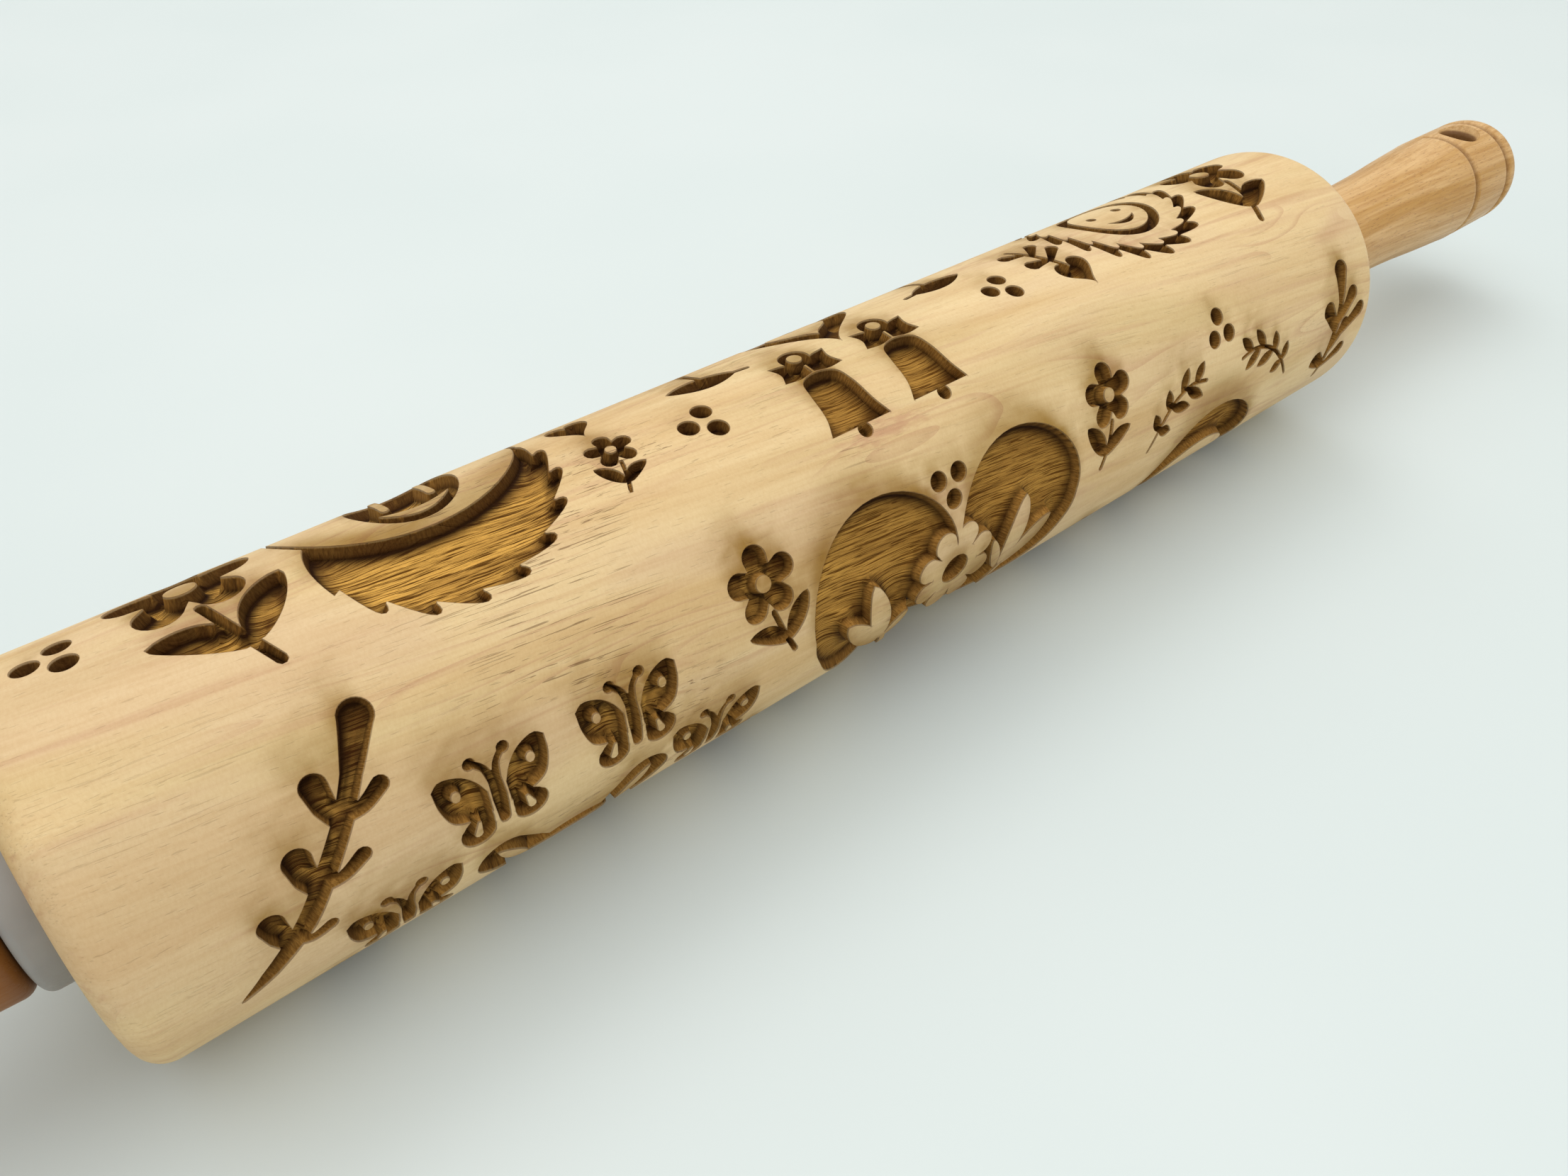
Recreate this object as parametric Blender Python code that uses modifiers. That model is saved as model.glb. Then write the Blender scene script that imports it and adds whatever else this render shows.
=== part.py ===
"""Engraved wooden rolling pin: a barrel that turns on a steel axle between two fixed handles.

Frame: metres, +Z up. The axle runs along X above the origin, which lies under the middle of
the barrel, on the surface that the pin rests on. One facet of the barrel lies flat on it.
"""

import math

import bmesh
import bpy
from mathutils import Vector
from mathutils.geometry import delaunay_2d_cdt

MM = 0.001

# Barrel.
BARREL_RADIUS = 28.0 * MM
BARREL_LENGTH = 264.0 * MM
BARREL_FACETS = 30
END_ROUNDING = 4.0 * MM
END_ROUNDING_STEPS = 3
ENGRAVING_DEPTH = 2.2 * MM
BORE_RADIUS = 7.0 * MM
SOCKET_RADIUS = 10.0 * MM
SOCKET_DEPTH = 14.0 * MM

# Axle and what sits on it inside the barrel.
AXLE_RADIUS = 4.0 * MM
AXLE_IN_HANDLE = 30.0 * MM
AXLE_CHAMFER = 0.8 * MM
RING_RADIUS = 6.2 * MM
RING_THICKNESS = 1.2 * MM
RING_SLIT = 3.0 * MM

# Flanged bush in each end of the barrel.
FLANGE_RADIUS = 13.0 * MM
FLANGE_THICKNESS = 5.0 * MM
FLANGE_ROUNDING = 1.5 * MM
FLANGE_ROUNDING_STEPS = 3
FLANGE_CHAMFER = 0.4 * MM
SLEEVE_LENGTH = 12.0 * MM
WASHER_RADIUS = 7.5 * MM
WASHER_THICKNESS = 1.0 * MM

# Handles.
HANDLE_LENGTH = 93.0 * MM
HANDLE_END_RADIUS = 12.2 * MM
HANDLE_WAIST_RADIUS = 11.6 * MM
HANDLE_GRIP_RADIUS = 13.6 * MM
HANDLE_EDGE = 1.8 * MM
HANDLE_EDGE_STEP = 0.3 * HANDLE_EDGE
HANDLE_DOME = 5.0 * MM
HANDLE_DOME_DROP = 6.0 * MM
HANDLE_DOME_STEPS = 4
WAIST_AT = 0.30 * HANDLE_LENGTH
SWELL_AT = 0.52 * HANDLE_LENGTH
GROOVE_HALF_WIDTH = 1.3 * MM
GROOVE_DEPTH = 1.0 * MM
GROOVES_FROM_END = (23.5 * MM, 7.5 * MM)
HANGING_HOLE_RADIUS = 4.0 * MM
HANGING_HOLE_FROM_END = 15.5 * MM
INSERT_RADIUS = 6.0 * MM
INSERT_LENGTH = 26.0 * MM
INSERT_BORE_DEPTH = 34.0 * MM
INSERT_SETBACK = 2.0 * MM

GAP = 0.3 * MM
TURNED_STEPS = 24
SMALL_STEPS = 16
SMOOTH_ANGLE = math.radians(40)
WELD_DISTANCE = 0.001 * MM
DRILL_LENGTH = 40.0 * MM
SLIT_CUTTER_LENGTH = 4.0 * MM

# Places along the axis, outwards from the middle.
BARREL_END = BARREL_LENGTH / 2
FLANGE_START = BARREL_END + GAP
FLANGE_END = FLANGE_START + FLANGE_THICKNESS
HANDLE_START = FLANGE_END + GAP
HANDLE_END = HANDLE_START + HANDLE_LENGTH
SLEEVE_END = BARREL_END - SLEEVE_LENGTH
RING_PLACE = SLEEVE_END - GAP - RING_THICKNESS
AXIS_HEIGHT = BARREL_RADIUS * math.cos(math.pi / BARREL_FACETS)

# The engraving is drawn flat, in millimetres: x along the barrel and a round it, downwards
# for someone who looks at the front. The front line, a = 0, is this far from the top.
FRONT_ANGLE = math.radians(45)
SEAM_ANGLE = math.pi + math.pi / BARREL_FACETS
SURFACE = 0
POCKET = 1
DISC_SIDES = 6
HEART_SIDES = 10
DRAWING_TOLERANCE = 0.02


def unrolled(outline):
    """The outline, anticlockwise, with its distances round the barrel measured from the top."""
    following = outline[1:] + outline[:1]
    area = sum(x * next_a - next_x * a for (x, a), (next_x, next_a) in zip(outline, following))
    ordered = outline if area > 0 else outline[::-1]
    return [Vector((x, a + BARREL_RADIUS / MM * FRONT_ANGLE)) for x, a in ordered]


# Shapes of the drawing. Each is (outline, level), and a later shape overrules an earlier one.


def ellipse(x, a, rx, ra, level=POCKET, sides=DISC_SIDES, turn=0.0):
    outline = []
    for i in range(sides):
        angle = turn + 2 * math.pi * i / sides
        outline.append((x + rx * math.cos(angle), a + ra * math.sin(angle)))
    return [(outline, level)]


def disc(x, a, radius, level=POCKET, sides=DISC_SIDES):
    return ellipse(x, a, radius, radius, level, sides, turn=math.pi / sides)


def bud(base, head, base_radius, head_radius, level=POCKET):
    """A tapered stroke with a round head and a narrow round base."""
    heading = math.atan2(head[1] - base[1], head[0] - base[0])
    outline = []
    head_turns = (-0.45, -0.15, 0.15, 0.45)
    base_turns = (0.6, 1.4)
    for centre, radius, turns in ((head, head_radius, head_turns), (base, base_radius, base_turns)):
        for turn in turns:
            angle = heading + math.pi * turn
            outline.append((centre[0] + radius * math.cos(angle), centre[1] + radius * math.sin(angle)))
    return [(outline, level)]


def leaf(base, tip, width, level=POCKET, bend=0.0):
    """A pointed leaf: two arcs between its base and its tip, both pushed aside by bend."""
    along = Vector(tip) - Vector(base)
    side = Vector((-along.y, along.x)).normalized()
    outline = []
    for sign, shares in ((1, (0.0, 0.33, 0.67)), (-1, (1.0, 0.67, 0.33))):
        for share in shares:
            offset = (sign * width / 2 + bend) * math.sin(math.pi * share)
            outline.append(tuple(Vector(base) + along * share + side * offset))
    return [(outline, level)]


def stroke(points, width, level=POCKET):
    """A line of even width through the points, as one outline."""
    near_side = []
    far_side = []
    for before, point, after in zip(points[:1] + points, points, points[1:] + points[-1:]):
        along = (Vector(after) - Vector(before)).normalized()
        side = Vector((-along.y, along.x)) * width / 2
        near_side.append(tuple(Vector(point) - side))
        far_side.append(tuple(Vector(point) + side))
    return [(near_side + far_side[::-1], level)]


def heart(x, tip, width, height, level=POCKET):
    """A heart with its tip at (x, tip), its lobes upwards."""
    outline = []
    for i in range(HEART_SIDES):
        t = 2 * math.pi * (i + 0.5) / HEART_SIDES
        across = math.sin(t) ** 3
        up = (13 * math.cos(t) - 5 * math.cos(2 * t) - 2 * math.cos(3 * t) - math.cos(4 * t) + 17) / 29
        outline.append((x + width / 2 * across, tip - height * up))
    outline.insert(HEART_SIDES // 2, (x, tip))
    return [(outline, level)]


def toothed_disc(x, a, radius, teeth, tooth_depth, level=POCKET):
    """A disc whose rim is cut into slanting teeth."""
    outline = []
    for i in range(teeth):
        start = 2 * math.pi * i / teeth
        for share, reach in ((0.0, radius - tooth_depth), (0.8, radius)):
            angle = start + share * 2 * math.pi / teeth
            outline.append((x + reach * math.cos(angle), a + reach * math.sin(angle)))
    return [(outline, level)]


# Motifs of the drawing, each a list of shapes.


def berries(x, a, radius=1.75, spread=2.55, turn=0.0):
    shapes = []
    for i in range(3):
        angle = turn + 2 * math.pi * i / 3
        shapes += disc(x + spread * math.cos(angle), a + spread * math.sin(angle), radius)
    return shapes


def blossom(x, a, size, petals=5, eye=True, level=POCKET):
    """Round petals about a centre, with a raised eye."""
    outline = []
    for i in range(petals):
        for share, reach in ((-0.5, 0.55), (-0.2, 1.05), (0.2, 1.05)):
            angle = 2 * math.pi * (i + share) / petals - math.pi / 2
            outline.append((x + reach * size * math.cos(angle), a + reach * size * math.sin(angle)))
    shapes = [(outline, level)]
    if eye:
        shapes += disc(x, a, 0.24 * size, SURFACE, sides=5)
    return shapes


def flower(x, a, size, lean=1):
    """A blossom on a stem with two leaves; lean is the side that the stem's foot leans to."""
    foot = (x + lean * 0.45 * size, a + 2.35 * size)
    fork = (x + lean * 0.15 * size, a + 1.85 * size)
    shapes = stroke([(x, a + 0.7 * size), fork, foot], 0.20 * size)
    shapes += leaf(fork, (x - lean * 1.0 * size, a + 1.25 * size), 0.52 * size, bend=-lean * 0.1 * size)
    shapes += leaf(fork, (x + lean * 1.3 * size, a + 0.75 * size), 0.52 * size, bend=lean * 0.1 * size)
    return shapes + blossom(x, a, size)


def bud_sprig(x, a, size=1.0, side=1):
    """A leaning stem with buds to both sides and one at its top; (x, a) is its foot."""

    def place(dx, da):
        return (x + side * size * dx, a + size * da)

    shapes = stroke([place(0, 0), place(5.6, -4.6), place(12.6, -11.8), place(18.6, -20.0)], 1.8 * size)
    shapes += bud(place(18.2, -19.6), place(24.8, -30.4), 0.9 * size, 2.1 * size)
    pairs = (
        ((6.9, -5.6), (6.3, -11.2), (12.1, -6.0)),
        ((12.2, -11.6), (11.8, -17.8), (18.8, -13.2)),
        ((18.0, -19.2), (17.2, -25.0), (23.8, -20.8)),
    )
    for foot, left_head, right_head in pairs:
        shapes += bud(place(*foot), place(*left_head), 0.7 * size, 1.6 * size)
        shapes += bud(place(*foot), place(*right_head), 0.7 * size, 1.5 * size)
    return shapes


def fern(x, a, side=1):
    """A slender stem with narrow leaves; (x, a) is its foot."""
    stem = [(x, a), (x + side * 3.4, a - 4.6), (x + side * 9.0, a - 8.8), (x + side * 16.5, a - 9.2)]
    shapes = stroke(stem, 0.9)
    for dx, da, tip_x, tip_a in (
        (2.4, -3.0, 1.0, -7.4), (4.6, -5.8, 5.4, -10.6), (8.0, -8.2, 11.8, -13.0),
        (2.2, -2.8, 6.4, -2.6), (6.0, -6.6, 11.8, -5.8), (12.4, -9.0, 15.6, -12.8),
    ):
        shapes += leaf((x + side * dx, a + da), (x + side * tip_x, a + tip_a), 1.7)
    return shapes


def butterfly(x, a):
    """Four wings, a body and two feelers."""
    shapes = []
    for side in (-1, 1):
        wing = [(1.0, -1.4), (3.0, -3.8), (6.6, -5.2), (7.6, -4.2), (6.7, 0.6), (4.6, 1.8), (1.0, 2.4)]
        shapes.append(([(x + side * dx, a + da) for dx, da in wing], POCKET))
        shapes += disc(x + side * 3.9, a + 4.3, 2.5)
        shapes += stroke([(x, a - 2.4), (x + side * 1.8, a - 5.8)], 1.2)
    shapes += stroke([(x, a - 3.0), (x, a + 5.4)], 1.9)
    return shapes


def bell(x, a):
    """A bell that hangs from a bow with a ring; a is its mouth."""
    body = [(-6.0, 0), (6.0, 0), (4.3, -10.4), (2.6, -12.0), (-2.6, -12.0), (-4.3, -10.4)]
    shapes = [([(x + dx, a + da) for dx, da in body], POCKET)]
    shapes += disc(x, a + 1.0, 1.3)
    for side in (-1, 1):
        bow = [(0.4, -12.6), (5.6, -12.4), (5.6, -17.2), (0.4, -15.0)]
        shapes.append(([(x + side * dx, a + da) for dx, da in bow], POCKET))
    shapes += disc(x, a - 17.6, 2.7)
    shapes += disc(x, a - 17.6, 1.2, SURFACE, sides=6)
    return shapes


def ruff_face(x, a):
    """A round pocket with a toothed rim, most of it taken up by a raised face with a muzzle."""
    shapes = toothed_disc(x, a, 20.0, 18, 1.6)
    shapes += ellipse(x, a - 9.5, 18.8, 14.2, SURFACE, sides=14)
    shapes += ellipse(x, a - 7.5, 8.0, 10.0, POCKET, sides=9)
    for side in (-1, 1):
        shapes += bud((x + side * 3.5, a - 4.0), (x + side * 3.3, a - 8.4), 0.6, 0.8, SURFACE)
    shapes += leaf((x - 4.8, a - 1.2), (x + 4.8, a - 1.2), 1.9, SURFACE, bend=1.3)
    return shapes


def ring_face(x, a):
    """The same face in lines: a toothed ring, a plain ring, two eyes and a smile."""
    shapes = toothed_disc(x, a, 19.0, 18, 1.2)
    shapes += disc(x, a, 16.4, SURFACE, sides=14)
    shapes += ellipse(x, a + 1.5, 9.4, 9.4, POCKET, sides=10)
    shapes += ellipse(x, a + 1.5, 7.6, 7.8, SURFACE, sides=10)
    for side in (-1, 1):
        shapes += disc(x + side * 3.4, a - 0.4, 0.9, sides=6)
    shapes += leaf((x - 3.6, a + 4.4), (x + 3.6, a + 4.4), 1.5, bend=1.4)
    return shapes


def leaf_on_stem(x, a, side=1):
    """A broad leaf with a stalk at its end and another at its back."""
    shapes = leaf((x + side * 5.8, a + 0.6), (x - side * 5.8, a - 0.6), 5.2)
    shapes += stroke([(x + side * 5.2, a + 0.5), (x + side * 8.4, a + 1.4)], 1.2)
    return shapes + stroke([(x + side * 2.0, a - 1.4), (x + side * 0.6, a - 7.4)], 1.3)


def heart_sprig(x, a):
    """A stalk with round buds to one side and pointed leaves to the other; (x, a) is its foot."""
    shapes = stroke([(x, a), (x - 2.6, a - 6.0), (x - 4.6, a - 11.0), (x - 5.6, a - 15.6)], 1.2)
    shapes += leaf((x - 0.4, a - 1.0), (x + 1.2, a - 9.0), 3.0)
    shapes += leaf((x - 3.8, a - 8.6), (x - 1.6, a - 15.4), 3.2)
    shapes += leaf((x - 5.2, a - 12.6), (x - 6.4, a - 19.0), 2.8)
    shapes += disc(x - 4.6, a - 4.4, 1.7)
    return shapes + disc(x - 7.4, a - 10.2, 1.8)


def garland_heart(x, a):
    """A great heart with a raised daisy and raised leaves across it; (x, a) is its notch."""
    shapes = []
    for side in (-1, 1):
        shapes += disc(x + side * 15.6, a + 0.6, 15.4, sides=14)
    below_lobes = [(-29.6, 7.0), (-22.0, 20.0), (0.0, 36.0), (22.0, 20.0), (29.6, 7.0), (0.0, 1.2)]
    shapes.append(([(x + dx, a + da) for dx, da in below_lobes], POCKET))
    for side in (-1, 1):
        stem = (x + side * 14.0, a + 13.6)
        shapes += leaf(stem, (x + side * 17.6, a - 2.0), 4.4, SURFACE)
        shapes += leaf(stem, (x + side * 23.6, a + 5.0), 4.2, SURFACE)
        shapes += leaf(stem, (x + side * 10.2, a + 6.6), 2.6, SURFACE)
    shapes += blossom(x, a + 5.2, 8.8, petals=7, eye=False, level=SURFACE)
    return shapes + disc(x, a + 5.2, 3.0)


def eared_head(x, a):
    """A round head with two upright ears and a raised face; (x, a) is the crown."""
    shapes = disc(x, a + 12.5, 12.5, sides=12)
    for side in (-1, 1):
        shapes += bud((x + side * 5.0, a + 5.0), (x + side * 12.0, a - 1.2), 4.0, 4.4)
        shapes += leaf((x + side * 7.0, a + 4.0), (x + side * 12.2, a - 3.2), 1.8, SURFACE)
    shapes += ellipse(x, a + 14.5, 8.6, 7.6, SURFACE, sides=9)
    for side in (-1, 1):
        shapes += disc(x + side * 3.4, a + 12.6, 1.1, sides=5)
    return shapes + leaf((x - 3.2, a + 16.6), (x + 3.2, a + 16.6), 1.6, bend=1.0)


def framed_heart(x, tip):
    return heart(x, tip, 22.0, 19.0) + heart(x, tip - 4.6, 10.0, 9.0, SURFACE)


def front_drawing():
    """The half of the engraving round the front line."""
    shapes = berries(-119.7, -27.4, turn=math.radians(60))
    shapes += flower(-103.3, -32.2, 8.9)
    shapes += bud_sprig(-118.8, 29.2)
    shapes += ruff_face(-72.3, -26.8)
    for x, a in ((-81.9, 17.2), (-60.8, 17.0), (-97.1, 31.2), (-46.8, 30.6)):
        shapes += butterfly(x, a)
    shapes += heart(-45.3, -27.0, 6.8, 8.6)
    shapes += flower(-44.6, -21.2, 4.0, lean=-1)
    shapes += berries(-29.8, -18.7)
    shapes += leaf_on_stem(-23.0, -28.6)
    shapes += bell(-7.5, -6.5) + bell(9.8, -6.5)
    shapes += framed_heart(2.5, -23.9)
    shapes += leaf_on_stem(29.6, -29.2, side=-1)
    shapes += berries(36.8, -19.9)
    shapes += heart_sprig(54.0, -12.0)
    shapes += ring_face(76.6, -30.4)
    shapes += flower(108.6, -29.4, 7.4, lean=-1)
    shapes += flower(-35.4, 8.4, 5.7)
    shapes += garland_heart(3.2, 19.4) + berries(3.3, 8.3, turn=math.radians(90))
    shapes += flower(43.4, 7.5, 5.6, lean=-1)
    shapes += berries(76.9, 6.4, turn=math.radians(-90))
    shapes += fern(54.3, 23.5) + fern(99.2, 23.4, side=-1)
    shapes += bud_sprig(111.2, 31.0, size=0.42)
    shapes += eared_head(-71.3, 33.0) + eared_head(76.8, 26.6)
    return shapes


def back_drawing():
    """The rest of the engraving, with the same motifs."""
    shapes = flower(-104.0, 48.0, 5.6) + bell(-40.0, 56.0) + flower(40.0, 44.0, 5.6, lean=-1)
    shapes += bud_sprig(-50.0, -62.0, side=-1) + bud_sprig(46.0, -62.0)
    shapes += ruff_face(0.0, -74.0)
    shapes += eared_head(-104.0, -90.0) + eared_head(104.0, -90.0)
    return shapes + butterfly(-32.0, -58.0) + butterfly(32.0, -58.0)


def clear_scene():
    for obj in list(bpy.data.objects):
        bpy.data.objects.remove(obj, do_unlink=True)


def make_collection(name):
    collection = bpy.data.collections.new(name)
    bpy.context.scene.collection.children.link(collection)
    return collection


def make_material(name, colour, roughness, metallic=0.0):
    material = bpy.data.materials.new(name)
    material.use_nodes = True
    shader = material.node_tree.nodes["Principled BSDF"]
    shader.inputs["Base Color"].default_value = (*colour, 1.0)
    shader.inputs["Roughness"].default_value = roughness
    shader.inputs["Metallic"].default_value = metallic
    return material


def add_mesh(name, mesh, material, collection):
    obj = bpy.data.objects.new(name, mesh)
    mesh.materials.append(material)
    collection.objects.link(obj)
    return obj


def unrolled_sheet():
    """A flat mesh of the barrel's surface, divided at its facets' edges and along the drawing."""
    half_straight = (BARREL_END - END_ROUNDING) / MM
    drawing = front_drawing() + back_drawing()
    edge_start = (SEAM_ANGLE - 2 * math.pi) * BARREL_RADIUS / MM
    facet = 2 * math.pi * BARREL_RADIUS / BARREL_FACETS / MM
    points = []
    edges = []
    faces = []
    for i in range(BARREL_FACETS + 1):
        around = edge_start + i * facet
        edges.append((len(points), len(points) + 1))
        points += [Vector((-half_straight, around)), Vector((half_straight, around))]
    faces.append([0, 1, len(points) - 1, len(points) - 2])
    levels = [SURFACE]
    for outline, level in drawing:
        faces.append(list(range(len(points), len(points) + len(outline))))
        points += unrolled(outline)
        levels.append(level)
    corners, _, triangles, _, _, sources = delaunay_2d_cdt(points, edges, faces, 0, DRAWING_TOLERANCE)
    sheet = bmesh.new()
    verts = [sheet.verts.new((corner.x * MM, corner.y * MM, 0.0)) for corner in corners]
    for triangle, source in zip(triangles, sources):
        face = sheet.faces.new([verts[i] for i in triangle])
        strip = int((face.calc_center_median().y / MM - edge_start) / facet)
        face.material_index = 2 * (strip % 2) + levels[max(source)]
    keep_outlines_and_facets(sheet)
    return sheet, [face for face in sheet.faces if face.material_index % 2 == POCKET]


def keep_outlines_and_facets(sheet):
    """Dissolves every edge that neither bounds a pocket nor divides two facets."""
    bmesh.ops.dissolve_limit(
        sheet, angle_limit=math.radians(1), verts=sheet.verts, edges=sheet.edges, delimit={"MATERIAL"}
    )
    bmesh.ops.triangulate(sheet, faces=sheet.faces)


def roll_up(sheet):
    """Wraps the flat sheet round the axis and welds its seam; depth is measured inwards."""
    for vert in sheet.verts:
        angle = vert.co.y / BARREL_RADIUS
        radius = BARREL_RADIUS + vert.co.z
        vert.co = (vert.co.x, -radius * math.sin(angle), radius * math.cos(angle))
    bmesh.ops.remove_doubles(sheet, verts=sheet.verts, dist=WELD_DISTANCE)


def end_profile():
    """(distance along, radius) from the straight side round the end and down the socket."""
    centre = BARREL_END - END_ROUNDING
    profile = []
    for i in range(1, END_ROUNDING_STEPS + 1):
        angle = math.pi / 2 * i / END_ROUNDING_STEPS
        radius = BARREL_RADIUS - END_ROUNDING * (1 - math.cos(angle))
        profile.append((centre + END_ROUNDING * math.sin(angle), radius))
    floor = BARREL_END - SOCKET_DEPTH
    return profile + [(BARREL_END, SOCKET_RADIUS), (floor, SOCKET_RADIUS), (floor, BORE_RADIUS)]


def close_end(mesh, side):
    """Draws the barrel's open rim round its end, into the socket and down to the bore."""
    rim_place = side * (BARREL_END - END_ROUNDING)
    open_edges = [edge for edge in mesh.edges if edge.is_boundary]
    rim = [e for e in open_edges if all(abs(v.co.x - rim_place) < WELD_DISTANCE for v in e.verts)]
    radius = BARREL_RADIUS
    for along, next_radius in end_profile():
        made = bmesh.ops.extrude_edge_only(mesh, edges=rim)["geom"]
        for vert in (v for v in made if isinstance(v, bmesh.types.BMVert)):
            scale = next_radius / radius
            vert.co = (side * along, vert.co.y * scale, vert.co.z * scale)
        rim = [e for e in made if isinstance(e, bmesh.types.BMEdge)]
        radius = next_radius
    return rim


def make_barrel(material, collection):
    body, pockets = unrolled_sheet()
    floor = bmesh.ops.extrude_face_region(body, geom=pockets)["geom"]
    bmesh.ops.delete(body, geom=pockets, context="FACES")
    for vert in (v for v in floor if isinstance(v, bmesh.types.BMVert)):
        vert.co.z -= ENGRAVING_DEPTH
    roll_up(body)
    for face in body.faces:
        face.material_index = 0
    bmesh.ops.bridge_loops(body, edges=close_end(body, -1) + close_end(body, 1))
    bmesh.ops.recalc_face_normals(body, faces=body.faces)
    mesh = bpy.data.meshes.new("barrel")
    body.to_mesh(mesh)
    body.free()
    mesh.shade_smooth()
    mesh.set_sharp_from_angle(angle=SMOOTH_ANGLE)
    barrel = add_mesh("barrel", mesh, material, collection)
    barrel.location.z = AXIS_HEIGHT
    return barrel


def turned(name, profile, material, collection, steps=TURNED_STEPS, side=1):
    """A piece turned about the X axis from (distance along, radius) points, outwards on its outer side."""
    mesh = bpy.data.meshes.new(name)
    outline = bmesh.new()
    verts = [outline.verts.new((radius, 0.0, -along)) for along, radius in profile]
    for start, end in zip(verts, verts[1:] + verts[:1]):
        if start.co.x > 0 or end.co.x > 0:
            outline.edges.new((start, end))
    outline.to_mesh(mesh)
    outline.free()
    obj = add_mesh(name, mesh, material, collection)
    screw = obj.modifiers.new("turning", "SCREW")
    screw.steps = steps
    screw.render_steps = steps
    screw.use_merge_vertices = True
    screw.merge_threshold = 10 * WELD_DISTANCE
    screw.use_smooth_shade = True
    obj.rotation_euler = (0.0, -side * math.pi / 2, 0.0)
    obj.location.z = AXIS_HEIGHT
    return obj


def quarter_round(start, length, radius, drop, steps):
    """Points round a convex corner: length along the axis while the radius falls by drop."""
    points = []
    for i in range(steps + 1):
        angle = math.pi / 2 * i / steps
        points.append((start + length * math.sin(angle), radius - drop * (1 - math.cos(angle))))
    return points


def groove(centre, radius):
    rims = (centre - GROOVE_HALF_WIDTH, centre + GROOVE_HALF_WIDTH)
    return [(rims[0], radius), (centre, radius - GROOVE_DEPTH), (rims[1], radius)]


def handle_profile():
    """From the rim of the insert's bore at the inner face, along the grip to the domed end."""
    bore = INSERT_RADIUS + GAP
    start = HANDLE_START
    profile = [(start, bore), (start, HANDLE_END_RADIUS - HANDLE_EDGE)]
    profile.append((start + HANDLE_EDGE_STEP, HANDLE_END_RADIUS - HANDLE_EDGE_STEP))
    profile.append((start + HANDLE_EDGE, HANDLE_END_RADIUS))
    profile.append((start + WAIST_AT, HANDLE_WAIST_RADIUS))
    profile.append((start + SWELL_AT, (HANDLE_WAIST_RADIUS + HANDLE_GRIP_RADIUS) / 2))
    for from_end in GROOVES_FROM_END:
        profile += groove(HANDLE_END - from_end, HANDLE_GRIP_RADIUS)
    dome_start = HANDLE_END - HANDLE_DOME
    profile += quarter_round(dome_start, HANDLE_DOME, HANDLE_GRIP_RADIUS, HANDLE_DOME_DROP, HANDLE_DOME_STEPS)
    profile.append((HANDLE_END, 0.0))
    return profile + [(start + INSERT_BORE_DEPTH, 0.0), (start + INSERT_BORE_DEPTH, bore)]


def make_cutter(cutters):
    """Turns the primitive that was just added into a hidden cutter."""
    cutter = bpy.context.object
    cutter.hide_render = True
    cutter.display_type = "WIRE"
    for holder in list(cutter.users_collection):
        holder.objects.unlink(cutter)
    cutters.objects.link(cutter)
    return cutter


def make_handle(name, side, drilled, material, collection, cutters):
    handle = turned(name, handle_profile(), material, collection, side=side)
    if drilled:
        bpy.ops.mesh.primitive_cylinder_add(
            vertices=SMALL_STEPS, radius=HANGING_HOLE_RADIUS, depth=DRILL_LENGTH
        )
        drill = make_cutter(cutters)
        drill.name = name + "_drill"
        drill.location = (side * (HANDLE_END - HANGING_HOLE_FROM_END), 0.0, AXIS_HEIGHT)
        handle.modifiers.new("hanging hole", "BOOLEAN").object = drill
    return handle


def bush_profile():
    """Sleeve in the barrel's socket and a flange outside it, bored for the axle."""
    bore = AXLE_RADIUS + GAP
    sleeve = SOCKET_RADIUS - GAP
    corner = FLANGE_END - FLANGE_ROUNDING
    profile = [(SLEEVE_END, bore), (SLEEVE_END, sleeve), (FLANGE_START, sleeve)]
    profile.append((FLANGE_START, FLANGE_RADIUS - FLANGE_CHAMFER))
    profile.append((FLANGE_START + FLANGE_CHAMFER, FLANGE_RADIUS))
    profile += quarter_round(corner, FLANGE_ROUNDING, FLANGE_RADIUS, FLANGE_ROUNDING, FLANGE_ROUNDING_STEPS)
    seat = FLANGE_END - WASHER_THICKNESS - GAP
    return profile + [(FLANGE_END, WASHER_RADIUS + GAP), (seat, WASHER_RADIUS + GAP), (seat, bore)]


def tube_profile(start, end, inner, outer):
    return [(start, inner), (start, outer), (end, outer), (end, inner)]


def make_axle(material, collection):
    half = HANDLE_START + AXLE_IN_HANDLE
    tip = AXLE_RADIUS - AXLE_CHAMFER
    profile = [(-half, 0.0), (-half, tip), (-half + AXLE_CHAMFER, AXLE_RADIUS)]
    profile += [(half - AXLE_CHAMFER, AXLE_RADIUS), (half, tip), (half, 0.0)]
    return turned("axle_rod", profile, material, collection, steps=SMALL_STEPS)


def make_ring(name, side, material, collection, cutters):
    """A split ring on the axle, inside the barrel, that keeps the barrel between the handles."""
    profile = tube_profile(RING_PLACE, RING_PLACE + RING_THICKNESS, AXLE_RADIUS + GAP, RING_RADIUS)
    ring = turned(name, profile, material, collection, steps=SMALL_STEPS, side=side)
    bpy.ops.mesh.primitive_cube_add(size=1.0)
    slit = make_cutter(cutters)
    slit.name = name + "_slit"
    slit.scale = (SLIT_CUTTER_LENGTH, RING_SLIT, RING_RADIUS)
    slit.location = (side * (RING_PLACE + RING_THICKNESS / 2), 0.0, AXIS_HEIGHT + RING_RADIUS)
    ring.modifiers.new("slit", "BOOLEAN").object = slit
    return ring


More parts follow.
